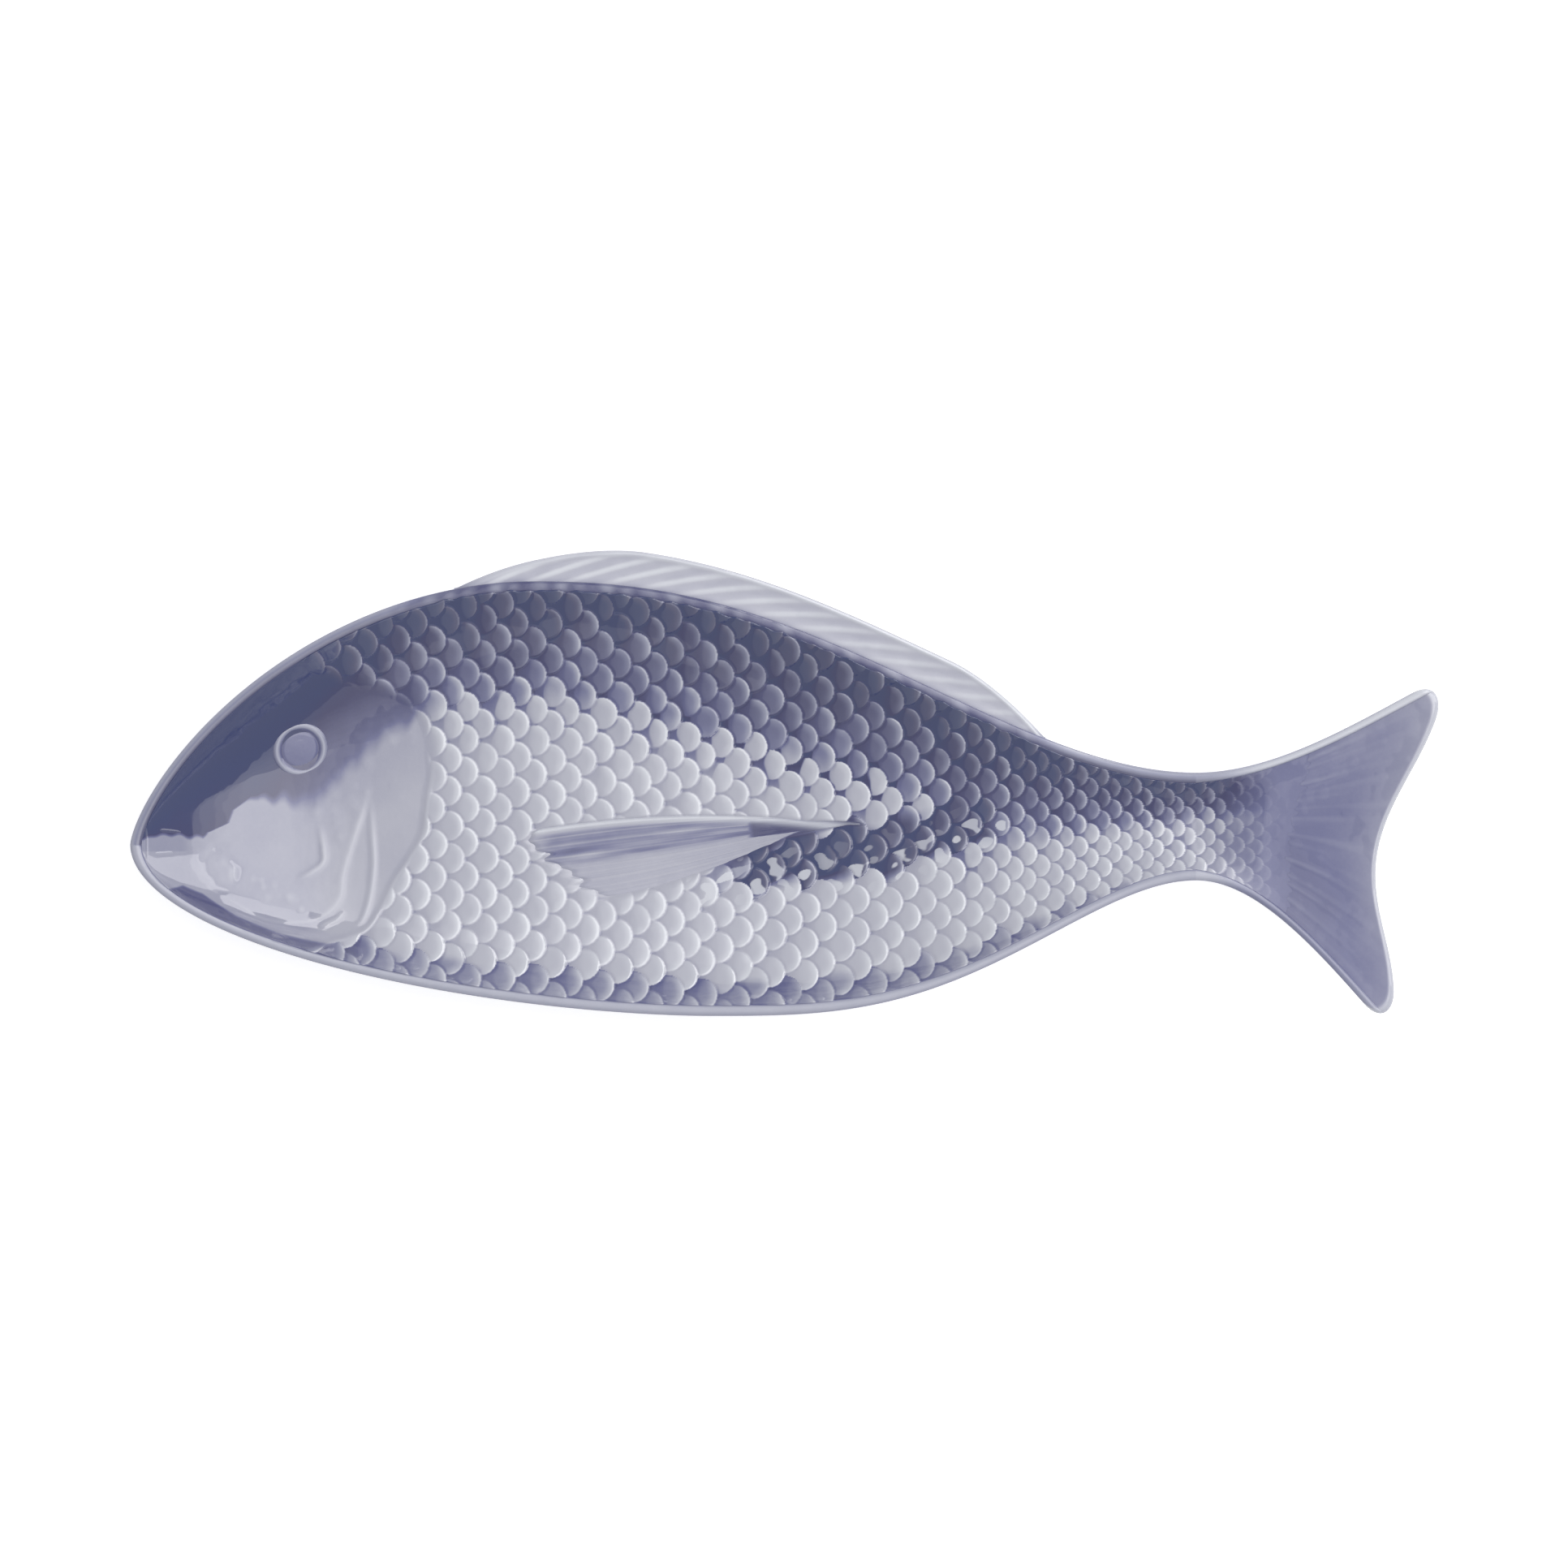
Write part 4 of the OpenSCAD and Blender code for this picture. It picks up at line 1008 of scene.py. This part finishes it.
    def cut(self, name, inside, *place):
        """Makes a piece of the cells whose middles lie inside."""
        keep = inside[CELL // 2::CELL, CELL // 2::CELL]
        parts = self.shown[:-1, :-1].reshape(keep.shape[0], CELL, keep.shape[1], CELL)
        keep = keep & (parts.max(axis=(1, 3)) > 0.001)
        low = self.points[::CELL, ::CELL] - np.array([0, 0, SKIN_DEPTH])
        place_piece(relief_pad(name, self.top, low, keep, CELL, self.marks), blue_glaze(), *place)


def build_scales():
    skin = Skin(Form())
    for name, start, stop in SCALE_PIECES:
        inside = (skin.offset >= 0) & (skin.x >= start) & (skin.x < stop)
        skin.cut(name, inside, "blue_glaze", "scales")


def build_head():
    skin = Skin(Form())
    for name, inside in (("snout", skin.x < SNOUT_REAR), ("gill_plates", skin.x >= SNOUT_REAR)):
        skin.cut(name, inside & (skin.offset < 0), "pale_glaze", "gill_cover")


def build_lips():
    form = Form()
    relief = form.relief
    cell = 4
    points, faces, thin = [], [], []
    for line in (UPPER_LIP, LOWER_LIP):
        path = smooth_path(head_line(form, line), 3)
        path = path[np.linspace(0, len(path) - 1, cell * 10 + 1).astype(int)]
        heading = np.gradient(path, axis=0)
        heading /= np.linalg.norm(heading, axis=1)[:, None]
        across = np.stack([-heading[:, 1], heading[:, 0]], -1)
        c = np.linspace(-1, 1, cell * 4 + 1)
        xy = path[:, None] + across[:, None] * c[None, :, None] * relief.lip_breadth / 2
        swell = taper(np.linspace(0, 1, len(path)), 0.4)[:, None]
        rise = 0.1 * relief.lip_relief * swell * (1 - c ** 2)[None] ** 2 - 0.4 * MM * np.abs(c)[None] ** 3
        rise = rise - 0.5 * MM * (1 - swell) + 0.25 * MM
        z = form.well_z(xy[..., 0], xy[..., 1]) + rise + 0.1 * MM
        top = np.concatenate([xy, z[..., None]], -1)
        low = top - np.array([0, 0, 1.6 * MM])
        faces += slab_faces(*top.shape[:2], len(points), [0, len(top) - 1]).tolist()
        points += top.reshape(-1, 3).tolist() + low.reshape(-1, 3).tolist()
        # A faint painted highlight along each lip's ridge, with the glaze thinning there.
        ridge = 0.05 * swell * (1 - c ** 2)[None]
        thin += ridge.ravel().tolist() + [0.0] * ridge.size
    depth = glaze_and_reflection_tone(form, *np.array(points)[:, :2].T)
    piece = new_piece("mouth_lips", points, faces, {"thin": thin, "depth": depth})
    close_up(piece, 60)
    place_piece(piece, blue_glaze(), "pale_glaze", "lips")


def build_eye():
    form = Form()
    relief = form.relief
    profile = [(0.0, 0.95), (1.6, 0.92), (2.7, 0.84), (3.2, 0.76), (4.6, 0.68), (5.4, 0.55), (5.8, 0.42),
               (6.2, 0.7), (6.7, 1.0), (7.4, 1.2), (8.1, 1.0), (8.7, 0.5), (9.1, -0.2), (9.1, -1.4),
               (0.0, -1.4)]
    bpy.ops.object.select_all(action="DESELECT")
    mesh = bpy.data.meshes.new("eye_boss")
    steps = [(k, k + 1) for k in range(len(profile) - 1)]
    mesh.from_pydata([(r * MM, 0, z * MM) for r, z in profile], steps, [])
    piece = bpy.data.objects.new("eye_boss", mesh)
    bpy.context.scene.collection.objects.link(piece)
    piece.select_set(True)
    bpy.context.view_layer.objects.active = piece
    bpy.ops.object.mode_set(mode="EDIT")
    bpy.ops.mesh.select_all(action="SELECT")
    bpy.ops.mesh.spin(steps=72, angle=2 * math.pi, center=(0, 0, 0), axis=(0, 0, 1))
    bpy.ops.object.mode_set(mode="OBJECT")
    close_up(piece, 60)
    smooth = piece.modifiers.new("Smooth", "SUBSURF")
    smooth.levels = smooth.render_levels = 1
    bpy.ops.object.modifier_apply(modifier=smooth.name)
    x, y = form.nose[0] + relief.eye_station, relief.eye_height
    step = 4 * MM
    slope_x = (form.well_z(x + step, y) - form.well_z(x - step, y)) / (2 * step)
    slope_y = (form.well_z(x, y + step) - form.well_z(x, y - step)) / (2 * step)
    normal = Vector((-slope_x, -slope_y, 1.0)).normalized()
    co = np.array([vertex.co for vertex in mesh.vertices])
    radius = np.hypot(co[:, 0], co[:, 1]) / MM
    # Painted highlight on the raised ring and painted shade in the groove, with the glaze breaking and
    # pooling there.
    ring = np.exp(-((radius - 7.4) / 0.8) ** 2) * (co[:, 2] > 0)
    groove = np.exp(-((radius - 5.8) / 0.4) ** 2) * (co[:, 2] > 0)
    for mark, values in (("thin", 0.35 * ring - 0.8 * groove), ("depth", np.full(len(co), 0.45))):
        mesh.attributes.new(mark, "FLOAT", "POINT").data.foreach_set("value", values.astype(np.float32))
    turn = Vector((0, 0, 1)).rotation_difference(normal).to_matrix().to_4x4()
    turn.translation = Vector((x, y, float(form.well_z(x, y)) + 0.2 * MM))
    mesh.transform(turn)
    place_piece(piece, blue_glaze(), "blue_glaze", "eye")


def build_pectoral_fin():
    form = Form()
    relief = form.relief
    cell = 6
    t = np.linspace(0, 1, cell * 34 + 1)[:, None]
    c = np.linspace(0, 1, cell * 14 + 1)[None, :]
    t, c = np.broadcast_arrays(t, c)
    x, y = form.leaf_xy(t, c)
    base = form.well_z(x, y)
    cover = form.leaf_cover(t, c)
    along, from_top = t * relief.pectoral_length, c * form.leaf_width(t)
    bead = np.exp(-((from_top - 1.4 * MM) / (1.0 * MM)) ** 2) * ease(unit((along - 1 * MM) / (5 * MM)))
    fine = stripes(c, t, (9.3, 13.7, 21.1, 29.9))
    uneven = stripes(c, 2 * t, (4.3, 7.1)) * stripes(t, c, (1.3, 2.9))
    lift = mix(0.6, 0.35, t) * relief.pectoral_relief * (1 - 0.6 * c)
    height = lift + 0.35 * MM * bead + 0.12 * MM * fine * (1 - 0.5 * t)
    z = base + height * cover - 0.3 * MM * (1 - cover)
    top = np.stack([x, y, z], -1)[:, ::-1]
    low = np.stack([x, y, base - 1.6 * MM], -1)[::cell, ::-1][:, ::cell]
    keep = np.ones((t.shape[0] // cell, t.shape[1] // cell), bool)
    cut = np.interp(c, [0.2, 0.5, 0.51, 0.58, 1.0], [0.638, 0.638, 0.64, 0.78, 0.59])
    navy = ease(unit((t - cut) / 0.03)) * ease(unit((c - 0.12) / 0.1))
    indigo = ease(unit((0.52 - c) / 0.08)) * ease(unit((c - 0.08) / 0.08))
    indigo = indigo * ease(unit((along - 3 * MM) / (8 * MM)))
    depth = mix(0.08, 0.36, indigo) + mix(0.12, 0.24, indigo) * fine + 0.3 * indigo * uneven
    depth = np.maximum(depth, 0.78 * navy)
    # Painted highlight along the raised bead of the upper edge, with the glaze breaking over it.
    thin = np.maximum(0.8 * bead, 0.15 * fine * (1 - navy)) * cover
    marks = {"thin": thin[:, ::-1], "depth": depth[:, ::-1]}
    piece = relief_pad("pectoral_fin_leaf", top, low, keep, cell, marks)
    place_piece(piece, blue_glaze(), "pale_glaze", "pectoral_fin")


def build_tail_fin():
    form = Form()
    size = form.size
    closing = 0.03
    turn = np.sin(np.linspace(0, math.pi / 2, 10)[1:])
    t = np.concatenate([np.linspace(0, 1 - closing, 131), 1 - closing * (1 - turn)])
    lip, heel = lip_profile(size), heel_profile(size)
    share_of_lip = form.tail_lip(t)
    settle = ease(unit(3 * t))

    def edge_column(side, inset, rise):
        x, y = form.tail_xy(t, side * (1 - share_of_lip * inset / size.lip_width))
        return np.stack([x, y, form.edge_at(x) + rise], -1)

    well_v = np.linspace(-1, 1, 153)[1:-1]
    rays = 0.03 * MM * stripes(well_v[None, :], t[:, None], (4.1, 6.3, 9.7))
    rays = rays * (settle * (1 - t ** 4))[:, None]
    well = form.tail_point(t[:, None], well_v[None, :])
    well[..., 2] += rays * (1 - well_v[None, :] ** 6)
    top = np.concatenate([np.stack([edge_column(-1, *step) for step in lip], 1), well,
                          np.stack([edge_column(1, *step) for step in reversed(lip)], 1)], 1)
    under_v = np.linspace(-1, 1, top.shape[1] - 2 * len(heel) + 2)[None, 1:-1]
    x, y = form.tail_xy(t[:, None], under_v)
    drop = mix(size.stock_depth + size.floor_thickness, size.tail_dip + size.tail_thickness, settle)
    z = form.edge_at(x) - mix(drop[:, None], size.lip_land, form.outer_wall(under_v))
    under = np.concatenate([np.stack([edge_column(-1, *step) for step in heel], 1), np.stack([x, y, z], -1),
                            np.stack([edge_column(1, *step) for step in reversed(heel)], 1)], 1)
    run = unit((1 - t) / closing)
    round_end = np.sqrt(1 - (1 - run) ** 2)[:, None]
    middle = 0.5 * (top[..., 2] + under[..., 2])
    top[..., 2] = mix(middle, top[..., 2], round_end)
    under[..., 2] = mix(middle, under[..., 2], round_end)

    crown = np.array([unit(rise / size.lip_crown) for _, rise in lip])
    # Painted highlight: the upper lip is brighter than the lower, as the side the light falls on, and the
    # ray crests and the trailing edge are paler, with the glaze breaking over them.
    low_rim = mix(0.4, 0.2, settle)[:, None] * crown
    high_rim = mix(0.3, 0.8, settle)[:, None] * crown[::-1]
    thin = np.concatenate([low_rim, 0.08 * rays / (0.03 * MM), high_rim], 1)
    thin = np.maximum(thin, 0.5 * ease(unit((t - 0.965) / 0.02))[:, None])
    flank = np.concatenate([np.full(len(lip), -1.0), well_v, np.full(len(lip), 1.0)])
    root = glaze_and_reflection_tone(form, form.stock_x, form.body_y(form.stock_x, flank, size.lip_width))[None, :]
    belly_lip, back_lip = lip_depths(size)
    root[0, :len(lip)], root[0, -len(lip):] = belly_lip, back_lip
    depth = mix(root, mix(0.63, 0.48, (flank[None, :] + 1) / 2) - 0.3 * t[:, None] ** 4, settle[:, None])
    piece = slab("tail_lobes", top, under, thin, depth, UNDERSIDE_GLAZE, [0, len(top) - 1])
    place_piece(piece, blue_glaze(), "blue_glaze", "tail_fin")


def build_dorsal_fin():
    form = Form()
    relief, size = form.relief, form.size
    x = np.linspace(form.nose[0] + relief.fin_start, form.nose[0] + relief.fin_end, 421)[:, None]
    turn = np.sin(np.linspace(0, math.pi / 2, 8)[1:])
    c = np.concatenate([np.linspace(0, 0.9, 24), 0.9 + 0.1 * turn])[None, :]
    share_of_fin = np.maximum(0.03, form.fin_share(x))
    reach = relief.fin_width * share_of_fin
    root_in = 1.2 * MM
    y = form.back_y(x) - root_in + (reach + root_in) * c
    edge = form.edge_at(x)
    rearward = unit((x - x[0]) / (x[-1] - x[0]))
    phase = (x - relief.fin_ray_lean * c * share_of_fin) / relief.fin_ray_pitch
    rays = np.cos(2 * math.pi * phase) * np.sin(math.pi * c) ** 0.7 * (1 - 0.65 * rearward)
    rim = np.exp(-(((1 - c) * reach - 0.9 * MM) / (0.7 * MM)) ** 2)
    sweep = edge + relief.fin_rise * share_of_fin * c ** 2
    upper = sweep + (0.35 * MM * rim + 0.5 * relief.fin_ray_height * (rays - 1)) * share_of_fin
    lower = sweep - mix(size.lip_land, relief.fin_edge, c * share_of_fin)
    closing = unit((1 - c) * reach / (1.1 * MM))
    round_end = np.sqrt(1 - (1 - closing) ** 2)
    middle = 0.5 * (upper + lower)
    across = np.broadcast_to(x, y.shape)
    top = np.stack([across, y, mix(middle, upper, round_end)], -1)
    under = np.stack([across, y, mix(middle, lower, round_end)], -1)
    # Painted highlight along the raised outer rim and on the ray crests, with the glaze breaking over them;
    # painted shade at the root where the fin meets the crest.
    thin = np.maximum(mix(0.25, 0.6, rearward) * rim, 0.45 * rays) + 0 * y
    depth = 0.27 - 0.1 * rays + 0.5 * np.exp(-((c * reach) / (1.5 * MM)) ** 2) + 0 * y
    piece = slab("dorsal_fin_flange", top, under, thin, depth, 0.3, [0, len(top) - 1])
    place_piece(piece, pale_glaze(), "pale_glaze", "dorsal_fin")


def build_foot_ring():
    size = bpy.context.scene.platter_sizes
    centre = (FOOT_LOW + FOOT_HIGH) / 2
    half = (FOOT_HIGH - FOOT_LOW) / 2
    wall, tall, lap, corner = size.foot_wall, size.foot_height, 0.6 * MM, 0.8 * MM
    section = [(0.0, tall + lap), (0.0, corner), (0.25 * corner, 0.3 * corner), (corner, 0.0),
               (wall - corner, 0.0), (wall - 0.25 * corner, 0.3 * corner), (wall, corner),
               (wall, tall + lap)]
    turns = np.linspace(0, 2 * math.pi, 145)[:-1]
    rings = [[(centre.x + (half.x - inset) * math.cos(a), centre.y + (half.y - inset) * math.sin(a), z)
              for inset, z in section] for a in turns]
    count, steps = len(turns), len(section)
    numbers = np.arange(count * steps).reshape(count, steps)
    faces = [(numbers[i, j], numbers[(i + 1) % count, j], numbers[(i + 1) % count, (j + 1) % steps],
              numbers[i, (j + 1) % steps]) for i in range(count) for j in range(steps)]
    piece = new_piece("foot_rim", np.array(rings).reshape(-1, 3), faces, {})
    close_up(piece, 40)
    place_piece(piece, bare_porcelain(), "bare_porcelain", "foot_ring")


# Stage

CAMERA_HEIGHT = 6.0
VIEW_WIDTH = 0.4803
SENSOR = 36.0
RIM_HEIGHT = 0.02


def softbox(name, centre, breadth, depth, lean, radiance):
    """A lit panel over the platter, leant by degrees about X and Y from facing straight down."""
    bpy.ops.object.select_all(action="DESELECT")
    turn = (math.radians(lean[0]), math.radians(lean[1]), 0)
    bpy.ops.object.light_add(type="AREA", location=centre, rotation=turn)
    lamp = bpy.context.object
    lamp.name = name
    lamp.data.shape = "RECTANGLE"
    lamp.data.size = breadth
    lamp.data.size_y = depth
    lamp.data.color = (1.0, 0.985, 0.975)
    lamp.data.energy = radiance * math.pi * breadth * depth
    lamp.visible_camera = False
    return lamp


def fading_panel(name, low, high, along, radiances):
    """Strips side by side along X or Y, each of its own strength, so that no hard border is reflected."""
    size = [high[0] - low[0], high[1] - low[1]]
    centre = [(low[0] + high[0]) / 2, (low[1] + high[1]) / 2, 2.0]
    size[along] /= len(radiances)
    for k, radiance in enumerate(radiances):
        centre[along] = low[along] + (k + 0.5) * size[along]
        softbox(f"{name}_{k + 1}", centre, *size, (0, 0), radiance)


def white_paper():
    """Seamless white paper: matt, and white to the camera, with the platter's shadow kept on it."""
    material, tree = new_material("white_paper")
    ray = add_node(tree, "ShaderNodeLightPath")
    paper = add_node(tree, "ShaderNodeBsdfDiffuse", {"Color": linear("#F4F4F4")})
    glow = add_node(tree, "ShaderNodeEmission", {"Color": (1.0, 1.0, 1.0, 1.0), "Strength": 0.6})
    seen = add_node(tree, "ShaderNodeAddShader", None, {0: paper.outputs[0], 1: glow.outputs[0]})
    blend = add_node(tree, "ShaderNodeMixShader", None,
                     {0: ray.outputs["Is Camera Ray"], 1: paper.outputs[0], 2: seen.outputs[0]})
    add_node(tree, "ShaderNodeOutputMaterial", None, {"Surface": blend.outputs[0]})
    return material


def build_stage():
    scene = bpy.context.scene
    scene.view_settings.view_transform = "Standard"
    bpy.ops.object.select_all(action="DESELECT")
    bpy.ops.mesh.primitive_plane_add(size=8, location=(0, 0, 0))
    floor = bpy.context.object
    floor.name = "paper_floor"
    floor.data.materials.append(white_paper())

    world = bpy.data.worlds.new("soft_room")
    scene.world = world
    world.use_nodes = True
    tree = world.node_tree
    tree.nodes.clear()
    ray = add_node(tree, "ShaderNodeLightPath")
    room = add_node(tree, "ShaderNodeBackground", {"Color": (0.95, 0.96, 1.0, 1.0), "Strength": 0.5})
    backdrop = add_node(tree, "ShaderNodeBackground", {"Color": (1.0, 1.0, 1.0, 1.0), "Strength": 1.0})
    blend = add_node(tree, "ShaderNodeMixShader", None,
                     {0: ray.outputs["Is Camera Ray"], 1: room.outputs[0], 2: backdrop.outputs[0]})
    add_node(tree, "ShaderNodeOutputWorld", None, {"Surface": blend.outputs[0]})

    softbox("key_panel", (0.85, 0.8, 2.0), 0.7, 2.4, (0, 0), 1.4)
    fading_panel("key_left", (-0.22, -0.4), (0.5, 2.0), 0, np.linspace(0.3, 1.25, 6))
    fading_panel("key_right", (1.2, -0.4), (2.0, 2.0), 0, np.linspace(1.3, 0.6, 4))
    fading_panel("brow", (0.15, -2.4), (1.7, -0.4), 1, np.linspace(0.22, 0.72, 8))
    fading_panel("brow_left", (-0.2, -1.4), (0.15, -0.4), 1, np.linspace(0.2, 0.36, 4))
    softbox("far_panel", (1.25, 2.5, 1.3), 1.1, 1.72, (-54.5, 0), 1.9)
    softbox("near_panel", (2.34, 0.95, 1.3), 1.92, 1.5, (0, 46.7), 1.3)
    softbox("fill_panel", (0.2, -3.2, 2.0), 2.8, 1.6, (0, 0), 0.22)

    camera_data = bpy.data.cameras.new("view_from_above")
    camera = bpy.data.objects.new("view_from_above", camera_data)
    scene.collection.objects.link(camera)
    camera.location = (0, 0, CAMERA_HEIGHT)
    camera_data.sensor_fit = "HORIZONTAL"
    camera_data.sensor_width = SENSOR
    camera_data.lens = SENSOR * (CAMERA_HEIGHT - RIM_HEIGHT) / VIEW_WIDTH
    scene.camera = camera


# Operators and panel

class PLATTER_OT_dish(bpy.types.Operator):
    """Model the dish with its lip, well and underside"""
    bl_idname = "platter.dish"
    bl_label = "Dish"

    def execute(self, context):
        build_dish()
        return {"FINISHED"}


class PLATTER_OT_scales(bpy.types.Operator):
    """Mould the scales over the flank"""
    bl_idname = "platter.scales"
    bl_label = "Scales"

    def execute(self, context):
        build_scales()
        return {"FINISHED"}


class PLATTER_OT_head(bpy.types.Operator):
    """Mould the gill plates and the cheek"""
    bl_idname = "platter.head"
    bl_label = "Gill plates"

    def execute(self, context):
        build_head()
        return {"FINISHED"}


class PLATTER_OT_lips(bpy.types.Operator):
    """Model the two lips of the mouth"""
    bl_idname = "platter.lips"
    bl_label = "Lips"

    def execute(self, context):
        build_lips()
        return {"FINISHED"}


class PLATTER_OT_eye(bpy.types.Operator):
    """Turn the eye and set it on the head"""
    bl_idname = "platter.eye"
    bl_label = "Eye"

    def execute(self, context):
        build_eye()
        return {"FINISHED"}


class PLATTER_OT_pectoral_fin(bpy.types.Operator):
    """Lay the pectoral fin on the flank"""
    bl_idname = "platter.pectoral_fin"
    bl_label = "Pectoral fin"

    def execute(self, context):
        build_pectoral_fin()
        return {"FINISHED"}


class PLATTER_OT_tail_fin(bpy.types.Operator):
    """Model the tail with its two lobes"""
    bl_idname = "platter.tail_fin"
    bl_label = "Tail fin"

    def execute(self, context):
        build_tail_fin()
        return {"FINISHED"}


class PLATTER_OT_dorsal_fin(bpy.types.Operator):
    """Model the dorsal fin along the back"""
    bl_idname = "platter.dorsal_fin"
    bl_label = "Dorsal fin"

    def execute(self, context):
        build_dorsal_fin()
        return {"FINISHED"}


class PLATTER_OT_foot_ring(bpy.types.Operator):
    """Model the unglazed foot ring"""
    bl_idname = "platter.foot_ring"
    bl_label = "Foot ring"

    def execute(self, context):
        build_foot_ring()
        return {"FINISHED"}


class PLATTER_OT_stage(bpy.types.Operator):
    """Set the floor, the lights and the camera"""
    bl_idname = "platter.stage"
    bl_label = "Stage"

    def execute(self, context):
        build_stage()
        return {"FINISHED"}


class PLATTER_PT_parts(bpy.types.Panel):
    """Lists the platter's pieces in the order they are made"""
    bl_idname = "PLATTER_PT_parts"
    bl_label = "Fish Platter"
    bl_space_type = "VIEW_3D"
    bl_region_type = "UI"
    bl_category = "Platter"

    def draw(self, context):
        for operator in OPERATORS:
            self.layout.operator(operator.bl_idname)


GROUPS = {"platter_sizes": PlatterSizes, "platter_relief": PlatterRelief, "platter_glaze": PlatterGlaze}
OPERATORS = (PLATTER_OT_dish, PLATTER_OT_scales, PLATTER_OT_head, PLATTER_OT_lips, PLATTER_OT_eye,
             PLATTER_OT_pectoral_fin, PLATTER_OT_tail_fin, PLATTER_OT_dorsal_fin, PLATTER_OT_foot_ring,
             PLATTER_OT_stage)


def register():
    for group in GROUPS.values():
        bpy.utils.register_class(group)
    for name, group in GROUPS.items():
        setattr(bpy.types.Scene, name, bpy.props.PointerProperty(type=group))
    for kind in OPERATORS + (PLATTER_PT_parts,):
        bpy.utils.register_class(kind)


def unregister():
    for kind in reversed(OPERATORS + (PLATTER_PT_parts,)):
        bpy.utils.unregister_class(kind)
    for name, group in GROUPS.items():
        delattr(bpy.types.Scene, name)
        bpy.utils.unregister_class(group)


def main():
    register()
    bpy.ops.platter.dish()
    bpy.ops.platter.scales()
    bpy.ops.platter.head()
    bpy.ops.platter.lips()
    bpy.ops.platter.eye()
    bpy.ops.platter.pectoral_fin()
    bpy.ops.platter.tail_fin()
    bpy.ops.platter.dorsal_fin()
    bpy.ops.platter.foot_ring()
    bpy.ops.platter.stage()


if __name__ == "__main__":
    main()
